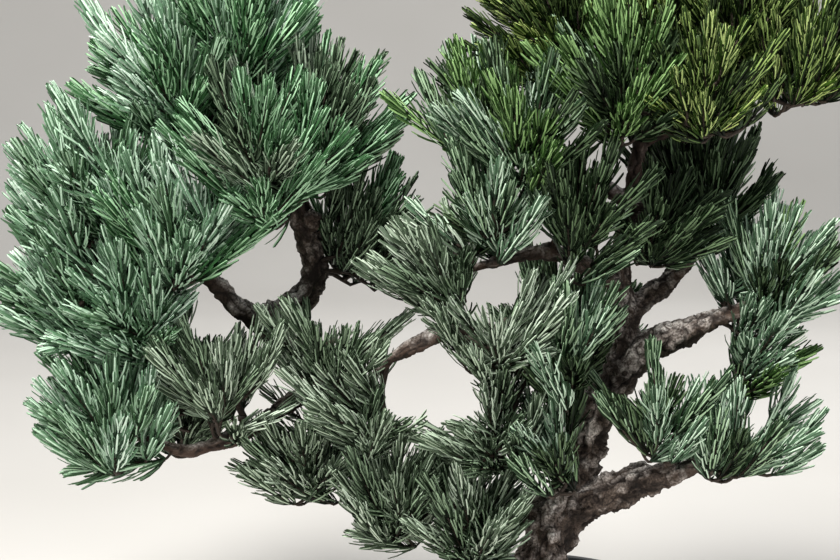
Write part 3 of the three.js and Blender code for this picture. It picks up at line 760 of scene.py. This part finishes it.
def make_gravel():
    generator = np.random.default_rng(GRAVEL_SEED)
    round_points, round_faces = ball()
    shares = [share for _, share in GRIT.values()]
    places, parts, looks = np.empty((0, 4)), [], []
    for _ in range(GRAVEL_TRIES * GRAIN_COUNT):
        distance = GRAVEL_RADIUS * math.sqrt(generator.random())
        angle = generator.random() * 2 * math.pi
        size = generator.uniform(*GRAIN_SIZE)
        if distance < TRUNK_FOOT_RADIUS:
            continue
        x, y = distance * math.cos(angle), distance * math.sin(angle)
        layer = generator.random() ** 2 * GRAIN_STACK
        spot = np.array([x, y, soil_height(distance) + layer, size])
        gaps = size_of(places[:, :3] - spot[:3]) - GRAIN_CLOSENESS * (size + places[:, 3])
        if (gaps < 0).any():
            continue
        places = np.vstack([places, spot])
        shape = round_points * (1 + 0.16 * noise(round_points * 1.3 + 9.1 * len(places)))[:, None]
        shape = shape * generator.uniform(0.72, 1.1, size=3) * size
        parts.append((shape @ random_turn(generator).T + spot[:3], round_faces))
        looks.append(generator.choice(len(GRIT), p=shares))
        if len(places) == GRAIN_COUNT:
            break
    materials = [grain_material(f"grit_{name}", color) for name, (color, _) in GRIT.items()]
    gravel = add_piece("gravel", *joined(parts), materials, np.repeat(looks, len(round_faces)))
    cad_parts["soil"].data.materials.clear()
    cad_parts["soil"].data.materials.append(soil_material())
    finish_piece(gravel)


# Masses of foliage: their spaces and stems


def flattened(points):
    return points / SPACE_SHAPE


def stem_foot(mass, feet):
    """The nearest place on the limb, clear of the other feet there."""
    points, _, _ = sample_limb(mass["limb"], LIMB_MARK_STEP)
    for other in feet:
        points = points[size_of(points - other) > FOOT_SPACING]
    feet.append(points[size_of(points - mass["centre"]).argmin()])
    return feet[-1]


def read_masses():
    masses = []
    feet = {name: [] for name in LIMBS}
    for i, (name, limb, x, y, z, radius, tint, *shares) in enumerate(MASSES):
        mass = {"name": name, "limb": limb, "tint": tint, "radius": float(radius),
                "centre": np.array([x, y, z], float), "random": seeded_random(FIRST_SEED + i),
                "shares": np.cumsum(shares or USUAL_SHARES)}
        mass["heart"] = flattened(mass["centre"])
        mass["foot"] = stem_foot(mass, feet[limb])
        masses.append(mass)
    hearts = np.array([mass["heart"] for mass in masses])
    radii = np.array([mass["radius"] for mass in masses])
    for mass in masses:
        distances = size_of(hearts - mass["heart"])
        near = (distances > 0) & (distances < 1.5 * (radii + mass["radius"]))
        mass["neighbours"] = hearts[near], radii[near], distances[near]
        mass["crown"] = hearts[near | (distances == 0)], radii[near | (distances == 0)]
    return masses


def crown_depth(points, mass):
    """How far points lie inside the crown's outline round a mass, negative outside."""
    hearts, radii = mass["crown"]
    reach = size_of(flattened(points)[:, None] - hearts)
    depths = np.clip(RIM_GROWTH * radii - reach, -60, None)
    depth = CREASE_FILL * np.log(np.exp(depths / CREASE_FILL).sum(1))
    depth += RAGGEDNESS * noise(points / RAGGED_WAVE, 71)
    return np.minimum(depth, box_depth(points))


def box_depth(points):
    """How far points lie inside the solids' bounds."""
    low, high = np.array(CAD_BOX) / MM
    return np.minimum(points - low, high - points).min(1) + BOX_ALLOWANCE


def side_depth(points, mass):
    """How far points lie on a mass's own side of its neighbours, negative past them."""
    places = flattened(points)
    own = ((places - mass["heart"]) ** 2).sum(-1) - mass["radius"] ** 2
    hearts, radii, distances = mass["neighbours"]
    others = ((places[:, None] - hearts) ** 2).sum(-1) - radii**2
    return ((others - own[:, None]) / (2 * distances)).min(1)


def in_gaps(points, gaps):
    """Whether points are seen from the front inside one of the gaps."""
    share = -EYE[1] / (points[:, 1] - EYE[1])
    x = EYE[0] + (points[:, 0] - EYE[0]) * share
    z = EYE[2] + (points[:, 2] - EYE[2]) * share
    ragged = 1 + RAGGED_GAPS * noise(np.stack([x, x + z, z], 1) / GAP_WAVE, 83)
    hidden = np.zeros(len(points), bool)
    for middle_x, middle_z, half_width, half_height in gaps:
        hidden |= ((x - middle_x) / half_width) ** 2 + ((z - middle_z) / half_height) ** 2 < ragged
    return hidden


def in_the_way(points):
    """Whether points would hide the sky or the bare bark."""
    return in_gaps(points, SKY_GAPS) | (in_gaps(points, BARK_GAPS) & (points[:, 1] < BARK_PLANE))


def limb_marks():
    marks = [sample_limb(name, LIMB_MARK_STEP) for name in LIMBS]
    return np.vstack([m[0] for m in marks]), np.concatenate([m[1] for m in marks])


def marks_near(mass, marks):
    near = size_of(marks[0] - mass["centre"]) < 2 * mass["radius"] + 20
    return marks[0][near], marks[1][near]


def clearance(points, marks):
    """Distance from each point to the nearest limb's surface."""
    middles, radii = marks
    if not len(radii):
        return np.full(len(points), 99.0)
    return (size_of(points[:, None] - middles[None]) - radii[None]).min(axis=1)


# Plumes: a twig from the stem, then a green shoot with needles all round


def plume_rim(mass, aim):
    """How far from the middle of its space a mass reaches along an aim."""
    steps = np.arange(6.0, 1.7 * mass["radius"], 2.0)
    line = mass["centre"] + aim * steps[:, None] * SPACE_SHAPE
    inside = (crown_depth(line, mass) > 0) & (side_depth(line, mass) > -BORDER_OVERLAP)
    return steps[-1] if inside.all() else steps[max(inside.argmin() - 1, 0)]


def is_inner(k):
    """Every fourth plume stays inside its mass."""
    return k >= 0 and k % 4 == 3


def plume_route(mass, k, draws, size, aim, rim, net):
    """Base, tip and direction of the green shoot of plume number k, and its furthest needle.

    Plumes on top of a mass end at its rim, those below start there, and the others rise past
    it. All point up and out, and away from the wood that carries them.
    """
    spot = mass["centre"] + aim * rim * (INNER_LAYER if is_inner(k) else 0.9) * SPACE_SHAPE
    nearest = net[size_of(net - spot).argmin()]
    away = unit(mass["centre"] - mass["foot"])
    direction = unit(aim * np.array([0.5, 0.35, 0.2]) + away * np.array([0.3, 0.15, 0.2])
                     + unit(spot - nearest) * 0.5 + UP * (0.45 + 0.35 * draws[1]))
    finer = NEEDLE_SIZES[mass["tint"]][0]
    shoot = SHOOT_LENGTH * size * (0.75 + 0.5 * draws[2]) * finer**0.5
    if k % 5 == 1:
        shoot *= LONG_SHOOT
    reach = shoot + TIP_NEEDLES * NEEDLE_LENGTH * finer * (0.4 + 0.6 * size)
    onward = aim @ direction
    layer = INNER_LAYER if is_inner(k) else 0.8 + 0.16 * onward**2 + 0.12 * draws[3]
    target = mass["centre"] + aim * rim * layer * SPACE_SHAPE
    base = target - direction * reach * (0.5 + 0.5 * onward)
    return base, base + direction * shoot, direction, shoot, base + direction * reach


def given_route(end, direction, shoot):
    """As a plume's route, for one of the long shoots."""
    end, direction = np.array(end, float), unit(np.array(direction, float))
    base = end - direction * (shoot + TIP_NEEDLES * NEEDLE_LENGTH)
    return base, base + direction * shoot, direction, shoot, end


def bezier(start, start_pull, end_pull, end, count):
    w = np.linspace(0, 1, count)[:, None]
    return ((1 - w) ** 3 * start + 3 * (1 - w) ** 2 * w * start_pull
            + 3 * (1 - w) * w * w * end_pull + w**3 * end)


def start_net(mass, marks):
    """The stem of a mass, and the wood that its twigs can leave.

    Each row of the wood is a place, the way it runs, its radius and its way from the limb.
    """
    foot, centre = mass["foot"], mass["centre"]
    along, length = unit(centre - foot), np.linalg.norm(centre - foot)
    bow = np.cross(along, across(along)) * (length * STEM_BOW)
    stem = np.linspace(foot, centre, STEM_POINTS)
    stem = stem + bow * np.sin(np.linspace(0, math.pi, STEM_POINTS))[:, None]
    buried = min(int((clearance(stem, marks) < -1).sum()), 9)
    run = np.linspace(0, length, STEM_POINTS)
    own = np.column_stack([stem, np.tile(along, (STEM_POINTS, 1)), 0 * run, run])
    bough, radii, _ = sample_limb(mass["limb"], LIMB_MARK_STEP)
    limb = np.column_stack([bough, unit(np.gradient(bough, axis=0)), radii, 0 * radii])
    zone = size_of(bough - centre) < JOINT_ZONE * mass["radius"]
    return stem, np.vstack([own[buried:], limb[zone]])


def twig_path(base, direction, net):
    """A twig's path from its best joint to a shoot's base, how far apart they are, and the
    wood that it adds, which is none where the twig would turn back."""
    away = base - net[:, :3]
    distance = size_of(away) + 1e-6
    onward = (away @ direction) / distance
    joint = int((distance + RUN_COST * net[:, 7] + TURN_COST * (1 - onward) ** 2).argmin())
    start = net[joint, :3] + away[joint] / distance[joint] * 0.6 * net[joint, 6]
    gap = np.linalg.norm(base - start)
    lead = unit(unit(base - start) + 0.5 * net[joint, 3:6])
    path = bezier(start, start + lead * gap * 0.4, base - direction * gap * 0.3, base, 5)
    return path, gap, [np.hstack([path[i], unit(path[i] - path[i - 1]), 0.0,
                                  net[joint, 7] + gap * i / 4])
                       for i in (2, 3, 4) if onward[joint] >= TURNED_BACK]


def aim_of(k, heading, jitter):
    """Aims spread evenly all round, turned from the heading of the stem."""
    height = 1 - 2 * ((0.5 + max(k, 0) * AIM_HEIGHT_STEP) % 1)
    turn = heading + 2 * math.pi * (k * AIM_TURN_STEP + AIM_TURN_SPREAD * jitter)
    flat = math.sqrt(1 - height * height)
    return np.array([flat * math.cos(turn), flat * math.sin(turn), height])


def has_room(line, k, mass, marks):
    """Whether a shoot keeps inside the crown and clear of the pot, limbs and gaps."""
    return not (
        line[:, 2].min() < LOWEST_NEEDLE + 3 or in_the_way(line).any()
        or k >= 0 and (crown_depth(line[:-1], mass).min() < 0
                       or side_depth(line, mass).min() < -BORDER_OVERLAP - 3)
        or clearance(line, marks).min() < SHOOT_CLEARANCE)


def grow_plume(mass, marks, net, others, k, size, route, face, curl_share):
    """Plume number k, its path and the wood that it adds, or None where it has no room."""
    base, tip, direction, shoot, end = route
    middle = (base + tip) / 2
    spacing = NEEDLE_SIZES[mass["tint"]][2] * (
        INNER_SPACING if is_inner(k) else PLUME_SPACING * (0.6 + 0.4 * size))
    if others and size_of(np.array([o["middle"] for o in others]) - middle).min() < spacing:
        return None
    if not has_room(np.linspace(base, end, 8), k, mass, marks):
        return None
    path, gap, joints = twig_path(base, direction, net)
    if (not joints or clearance(path[2:], marks).min() < TWIG_CLEARANCE
            or crown_depth(path[2:], mass).min() < -2 or in_gaps(path[1:], SKY_GAPS).any()):
        return None
    curl = unit(UP + 0.5 * aim_side(direction, curl_share))
    bent = np.linspace(0, 1, 4)[1:, None] ** 2 * shoot * SHOOT_CURL
    whole = np.vstack([path, np.linspace(base, tip, 4)[1:] + curl * bent])
    random = mass["random"]
    plume = {"line": whole[2:], "size": size, "middle": middle,
             "count": NEEDLES_EACH * size * (0.45 + 0.55 * shoot / SHOOT_LENGTH / size),
             "tone": random(), "face": face,
             # Painted shade: inner plumes and those in the deep-shade gaps take the dark copy of
             # their colours
             "dark": is_inner(k) or in_gaps(middle[None], DARK_GAPS)[0],
             "reach": LONG_SHOOT_REACH if k < 0 else 0.0,
             "turn": random() * 2 * math.pi, "seed": int(random() * 1e9)}
    plume["needles"], share_left = needles_of(plume, mass, marks)
    if share_left < FEWEST_NEEDLES_LEFT:
        return None
    widths = [TWIG_RADIUS + 0.03 * min(gap, 35), TWIG_RADIUS, TWIG_TIP_RADIUS]
    return plume, (whole, np.interp(np.arange(8), [0, 4, 7], widths), 4), joints


def grow_mass(mass, marks):
    """The plumes of a mass, and the paths of its stem and twigs."""
    stem, net = start_net(mass, marks)
    wood = [(stem, np.linspace(STEM_RADIUS, STEM_TIP_RADIUS, STEM_POINTS), 6)]
    plumes = []
    out = mass["centre"] - mass["foot"]
    closer = NEEDLE_SIZES[mass["tint"]][2]
    wanted = round(PLUMES_FOR_THIRTY_MM * (mass["radius"] / 30 / closer) ** 2)
    given = LONG_SHOOTS.get(mass["name"], [])
    for k in range(-len(given), AIMS_TRIED):
        if len(plumes) >= wanted:
            break
        draws = [mass["random"]() for _ in range(4)]
        aim = aim_of(k, math.atan2(out[1], out[0]), draws[0])
        rim = plume_rim(mass, aim)
        for size in PLUME_SIZES[:1] if k < 0 else PLUME_SIZES:
            if k < 0:
                route, face = given_route(*given[k]), FRONT
            else:
                route, face = plume_route(mass, k, draws, size, aim, rim, net[:, :3]), aim
            grown = grow_plume(mass, marks, net, plumes, k, size, route, face, draws[0])
            if grown:
                plume, path, joints = grown
                plumes.append(plume)
                wood.append(path)
                net = np.vstack([net, *joints])
                break
    return plumes, wood


def aim_side(direction, share):
    side = across(direction)
    other = np.cross(direction, side)
    return side * math.cos(2 * math.pi * share) + other * math.sin(2 * math.pi * share)


def needles_of(plume, mass, marks):
    """The needles of a plume, and how much of them is left clear of limbs and gaps.

    Each needle is its start, direction, inner side, length, width, roll and bend.
    """
    generator = np.random.default_rng(plume["seed"])
    size, line = plume["size"], plume["line"]
    count = round(plume["count"])
    tuft = count // 5
    share = np.concatenate([
        SHORT_BARE_TWIG
        + (np.arange(count - tuft) + 0.5) / (count - tuft) * (0.97 - SHORT_BARE_TWIG),
        np.full(tuft, 0.98)])
    share = np.clip(share + generator.normal(0, 0.01, count), 0, 1)
    last = len(line) - 1
    start = np.stack([np.interp(share * last, range(last + 1), line[:, i]) for i in range(3)], 1)
    before = np.clip((share * last).astype(int), 0, last - 1)
    axis = unit(0.5 * (line[before + 1] - line[before]) + 0.5 * (line[-1] - line[2]))
    turn = plume["turn"] + np.arange(count) * GOLDEN_TURN + generator.normal(0, 0.12, count)
    other = plume["face"] + 0.05 * UP
    other = unit(other - axis * (axis @ other)[:, None])
    side = np.cross(axis, other)
    outward = side * np.cos(turn)[:, None] + other * (FAN_FLATNESS * np.sin(turn))[:, None]
    spread = np.interp(share, FAN_PLACES, FAN_ANGLES)
    spread[-tuft:] = generator.uniform(2, 18, tuft)
    spread = np.radians(spread + generator.normal(0, 2.5, count))
    direction = unit(axis * np.cos(spread)[:, None] + outward * np.sin(spread)[:, None])
    lift = UP * 0.1 + generator.normal(0, 0.018, (count, 3))
    direction = unit(direction + lift)
    longer, wider, _ = NEEDLE_SIZES[mass["tint"]]
    length = NEEDLE_LENGTH * longer * (0.4 + 0.6 * size)
    length = length * np.interp(share, [0, 0.45, 0.85, 1], [0.72, 1, 1, 0.88])
    length = length * generator.uniform(0.9, 1.08, count)
    inner = axis - direction * (direction * axis).sum(1)[:, None]
    inner = unit(inner + 1e-6 * UP)
    end = start + direction * length[:, None]
    keep = (crown_depth(end, mass) > -NEEDLE_ALLOWANCE - plume["reach"])
    keep &= (box_depth(end) > -NEEDLE_ALLOWANCE) & (end[:, 2] > LOWEST_NEEDLE)
    keep &= (clearance(end, marks) > NEEDLE_CLEARANCE) & ~in_the_way(end)
    keep &= clearance(start + direction * length[:, None] * 0.5, marks) > NEEDLE_CLEARANCE
    roll = generator.normal(0, 0.6, count)
    bend = length * (0.04 + 0.26 * np.sin(spread) + generator.normal(0, 0.09, count))
    width = NEEDLE_WIDTH * wider * generator.uniform(0.85, 1.1, count)
    # The same tips, reached in a rounder curve
    rounder = NEEDLE_ROUNDNESS * length * np.sin(spread)
    run = direction * length[:, None] - inner * rounder[:, None]
    length = size_of(run)
    values = start, run / length[:, None], inner, length, width, roll, bend + rounder
    return [value[keep] for value in values], keep.mean()


def needle_meshes(start, direction, inner, length, width, roll, bend):
    """Folded blunt needles: three points across at four places along, and a tip.

    The narrower face of the fold is the pale band, and the foot of the needle is darker.
    """
    flat = np.cross(direction, inner)
    cos, sin = np.cos(roll)[:, None], np.sin(roll)[:, None]
    side = flat * cos + inner * sin
    top = inner * cos - flat * sin
    bow = inner * bend[:, None]
    rings = []
    for place, share in NEEDLE_RINGS:
        middle = start + direction * (length * place)[:, None] + bow * place**2
        across_it = side * (width * share)[:, None]
        fold = top * (width * share * FOLD_DEPTH)[:, None]
        rings += [middle + across_it * PALE_SHARE, middle - fold,
                  middle - across_it * (1 - PALE_SHARE)]
    rings.append(start + direction * length[:, None] + bow)
    faces, looks = [], []
    last = 3 * len(NEEDLE_RINGS)
    for a in range(0, last, 3):
        for i, look in enumerate((BAND, BLADE)):
            b = a + i
            if a < last - 3:
                faces += [(b, b + 1, b + 4), (b, b + 4, b + 3)]
                looks += [look if a else SHADE] * 2
            else:
                faces.append((b, b + 1, last))
                looks.append(look)
    whole = np.array(faces) + (last + 1) * np.arange(len(start))[:, None, None]
    points = np.stack(rings, axis=1).reshape(-1, 3)
    return points, whole.reshape(-1, 3), np.tile(looks, len(start))


def plume_variant(plume, mass):
    # Dark copies are painted shade for inner and deep-shade plumes; the rest follow the mass's
    # shares of painted light, painted shade and lush green
    lush, light, dark = mass["shares"]
    tone = plume["tone"]
    if plume["dark"]:
        return DARK_AND_SHADED
    return LUSH if tone < lush else PALE_AND_LIT if tone < light else DARK_AND_SHADED if tone < dark else PLAIN


def make_foliage():
    masses, marks, wood = read_masses(), limb_marks(), []
    for mass in masses:
        mass["plumes"], paths = grow_mass(mass, marks_near(mass, marks))
        wood += paths
    for tint, colors in NEEDLE_TINTS.items():
        materials = []
        for i, (blade, band) in enumerate(colors):
            shade = tuple(SHADE_SHARES[tint] * value for value in blade)
            for part, color in (("shade", shade), ("blade", blade), ("band", band)):
                materials.append(needle_material(f"{tint}_{part}_{i + 1}", color))
        parts, looks, nodes, number = [], [], [], 1
        own = [mass for mass in masses if mass["tint"] == tint]
        for mass in own:
            for plume in mass["plumes"]:
                points, faces, look = needle_meshes(*plume["needles"])
                parts.append((points, faces))
                looks.append(3 * plume_variant(plume, mass) + look)
            nodes.append(f"{mass['name']}_foliage")
            if sum(map(len, looks)) > FULL_PIECE or mass is own[-1]:
                name = f"needles_{tint}_{number}"
                piece = add_piece(name, *joined(parts), materials, np.concatenate(looks))
                finish_piece(piece, nodes)
                parts, looks, nodes, number = [], [], [], number + 1
    twigs = joined([tube(*path) for path in wood])
    finish_piece(add_piece("twigs", *twigs, [twig_material()], smooth=True))
    return masses


# Bark: all the limbs as one skin with its relief


def flare(height, angle):
    low = np.clip(1 - (height - SOIL_TOP) / FLARE_HEIGHT, 0, 1)
    return 1 + FLARE_DEPTH * low * np.cos(FLARE_LOBES * angle)


def limb_shape(name, salt):
    """A limb's tube, with its swellings. Only the trunk reaches below its foot in the soil."""
    points, radii, run = sample_limb(name, RING_STEP)
    keep = points[:, 2] >= TRUNK_FOOT
    points, radii, run = points[keep], radii[keep], run[keep]
    along = np.column_stack([run / SWELLING_WAVE, 0 * run + 3.7 * salt, 0 * run])
    radii = radii * (1 + 0.07 * noise(along, salt) + 0.04 * noise(along * 2.7, salt + 5))
    if name == "trunk":
        return tube(points, radii, TRUNK_SIDES, flare)
    radii = radii * (1 + FORK_SWELLING * smoothstep(FORK_REACH, 0, run))
    return tube(points, radii, BOUGH_SIDES)


def collar(mass, marks):
    """The swelling where a stem leaves its limb."""
    middles, radii = marks
    radius = radii[size_of(middles - mass["foot"]).argmin()]
    direction = unit(mass["centre"] - mass["foot"])
    line = mass["foot"] + direction * np.linspace(0, radius + 5.5, 6)[:, None]
    return tube(line, np.linspace(min(radius, 4.2), 2.2, 6), 12)


def knot(middle, radius, direction, length):
    """A round knob or stub that stands out of the bark."""
    line = np.array(middle, float) + unit(np.array(direction, float)) * np.linspace(
        -0.5, 1, 7)[:, None] * length
    return tube(line, radius * np.array([0.9, 1, 1, 0.95, 0.9, 0.8, 0.5]), 12)


def remeshed(points, faces, voxel):
    rough = add_piece("rough_bark", points, faces)
    remesh = rough.modifiers.new("skin", "REMESH")
    remesh.mode, remesh.voxel_size = "VOXEL", voxel * MM
    smooth = rough.modifiers.new("soften", "SMOOTH")
    smooth.factor, smooth.iterations = 0.5, 4
    evaluated = rough.evaluated_get(bpy.context.evaluated_depsgraph_get())
    mesh = bpy.data.meshes.new_from_object(evaluated)
    bpy.data.objects.remove(rough)
    return mesh


def bark_relief(points, name, salt):
    """Distance from a limb's surface, and its height, crevice, tone, youth and place there."""
    middles, radii, run = sample_limb(name, 1.0)
    along, side, other = frames_along(middles)
    nearest = np.concatenate([
        size_of(chunk[:, None] - middles[None]).argmin(1)
        for chunk in np.array_split(points, max(1, len(points) // 4000))])
    offset = points - middles[nearest]
    s = run[nearest] + (offset * along[nearest]).sum(1)
    a = (offset * side[nearest]).sum(1)
    b = (offset * other[nearest]).sum(1)
    radius = radii[nearest]
    shift = 31.7 * salt
    place = np.stack([a, b, s], 1)
    warp = 1.5 * np.stack([noise(place / 4.0, 11), noise(place / 4.0, 12),
                           noise(place / 6.0, 13)], 1)
    flakes = (place + warp) / FLAKE_SIZE + shift
    level, lip = terraces(1.9 * rough_noise(flakes, 3, 31) + 0.4)
    furrows = (place + 1.3 * warp) / FURROW_SIZE + 1.7 * shift
    furrow = 1 - smoothstep(0.0, 0.2, np.abs(noise(furrows, 41)))
    splits = (place + warp) / SPLIT_SIZE + 2.3 * shift
    split = 1 - smoothstep(0.0, 0.1, np.abs(noise(splits, 43)))
    lumps = rough_noise(place / 9.0 + shift, 3, 21)
    grit = noise(place / 1.5 + shift, 51)
    depth = np.clip(0.13 * radius, 0.25, 1.35)
    height = depth * (0.85 * level + 0.25 * grit - 1.7 * furrow - 1.2 * split)
    height = height + lumps * np.clip(0.13 * radius, 0.3, 1.5)
    # Crevices are painted near black: partly the dark bark down in furrows and splits, partly
    # painted shade there and at the lips of the flakes' steps
    crevice = np.clip(0.95 * furrow + 0.7 * split + 0.3 * lip, 0, 1)
    tone = 0.44 + 0.24 * level + 0.16 * lumps + 0.26 * noise(place / 4.2 + shift, 52)
    young = 1 - smoothstep(*YOUNG_RADII, radius)
    return np.hypot(a, b) - radius, height, crevice, tone, young, place + shift + 1.5 * warp


def vertex_values(mesh, name):
    values = np.empty(3 * len(mesh.vertices), np.float32)
    mesh.vertices.foreach_get(name, values)
    return values.reshape(-1, 3).astype(float)


def make_bark(masses):
    marks = limb_marks()
    parts = [limb_shape(name, i + 1) for i, name in enumerate(LIMBS)]
    parts += [collar(mass, marks) for mass in masses]
    parts += [knot(*values) for values in KNOTS]
    mesh = remeshed(*joined(parts), BARK_VOXEL)
    points, normals = vertex_values(mesh, "co") / MM, vertex_values(mesh, "normal")
    count = len(points)
    gaps, values = np.full((len(LIMBS), count), 1e9), np.zeros((len(LIMBS), count, 7))
    for i, name in enumerate(LIMBS):
        middles, _, _ = sample_limb(name, 4.0)
        close = ((points > middles.min(0) - 30) & (points < middles.max(0) + 30)).all(1)
        if close.any():
            gaps[i, close], *relief, place = bark_relief(points[close], name, i + 1)
            values[i, close] = np.column_stack([*relief, place])
    weights = np.exp(-(gaps - gaps.min(0)) / LIMB_BLEND)
    weights /= weights.sum(0)
    height, crevice, tone, young = (weights[..., None] * values[..., :4]).sum(0).T
    place = values[gaps.argmin(0), np.arange(count), 4:]
    # Painted light from above: bark that faces up is painted paler and its underside darker, and
    # the dark colour of young bark is held back on top
    painted_top_light = np.clip(normals[:, 2] * 0.5 + 0.5, 0, 1)
    tone = np.clip(0.75 * tone + 0.85 * painted_top_light - 0.42, 0, 1)
    young = young * (1 - 0.6 * painted_top_light)
    points = points + normals * height[:, None]
    mesh.vertices.foreach_set("co", (points * MM).astype(np.float32).ravel())
    for name, value in (("crevice", crevice), ("tone", tone), ("young", young)):
        attribute = mesh.attributes.new(name, "FLOAT", "POINT")
        attribute.data.foreach_set("value", value.astype(np.float32))
    attribute = mesh.attributes.new("limb_place", "FLOAT_VECTOR", "POINT")
    attribute.data.foreach_set("vector", (place * MM).astype(np.float32).ravel())
    mesh.polygons.foreach_set("use_smooth", np.full(len(mesh.polygons), True))
    mesh.update()
    mesh.materials.clear()
    finish_piece(link("bark_skin", mesh, [bark_material()]), list(LIMBS))


# Surroundings


def make_stage():
    """A pale floor that curves up behind."""
    flat, bend = 1500, 900
    line = [(-4000, 0), (flat, 0)]
    line += [(flat + bend * math.sin(a), bend - bend * math.cos(a))
             for a in np.linspace(0, math.pi / 2, 14)[1:]]
    line += [(flat + bend, 5000)]
    points = [(x, y, z) for y, z in line for x in (-5000, 5000)]
    faces = []
    for a in range(0, 2 * len(line) - 2, 2):
        faces += [(a, a + 1, a + 3), (a, a + 3, a + 2)]
    stops = [(0.3, (0.62, 0.6, 0.57)), (0.7, (0.67, 0.65, 0.62))]
    pale = speckled_material("pale_floor", (0.64, 0.62, 0.59), 0.85, 3, 2, stops)
    add_piece("studio_floor", points, faces, [pale], smooth=True)


def add_light(name, place, target, size, power, color):
    light = bpy.data.lights.new(name, "AREA")
    light.shape, light.size, light.energy, light.color = "DISK", size, power, color
    lamp = link(name, light)
    lamp.location = place
    toward = unit(np.array(target, float) - np.array(place, float))
    lamp.rotation_mode = "QUATERNION"
    lamp.rotation_quaternion = Vector(toward).to_track_quat("-Z", "Y")


def make_camera():
    camera = bpy.data.cameras.new("photo_view")
    camera.sensor_width = 36.0
    camera.lens = 36.0 * FOCAL_PIXELS / PHOTO_WIDTH
    view = link("photo_view", camera)
    view.location = EYE * MM
    view.rotation_euler = (math.radians(90 - CAMERA_DIP), 0, 0)
    bpy.context.scene.camera = view


def make_world():
    world = bpy.data.worlds.new("soft_studio")
    world.use_nodes = True
    background = world.node_tree.nodes["Background"]
    background.inputs["Color"].default_value = (0.93, 0.96, 1.0, 1)
    background.inputs["Strength"].default_value = 0.3
    bpy.context.scene.world = world


make_camera()
make_stage()
make_world()
add_light("key", (-0.45, -0.85, 1.7), (-0.05, 0, 0.24), 0.8, 56, (1.0, 0.985, 0.95))
add_light("fill", (1.2, -0.7, 0.6), (-0.05, 0, 0.25), 1.0, 6, (0.95, 0.97, 1.0))
add_light("back", (0.5, 1.2, 1.1), (-0.05, 0, 0.3), 0.9, 8, (1.0, 1.0, 1.0))
bpy.context.scene.view_settings.view_transform = "Standard"

make_pot()
make_gravel()
grown = make_foliage()
make_bark(grown)
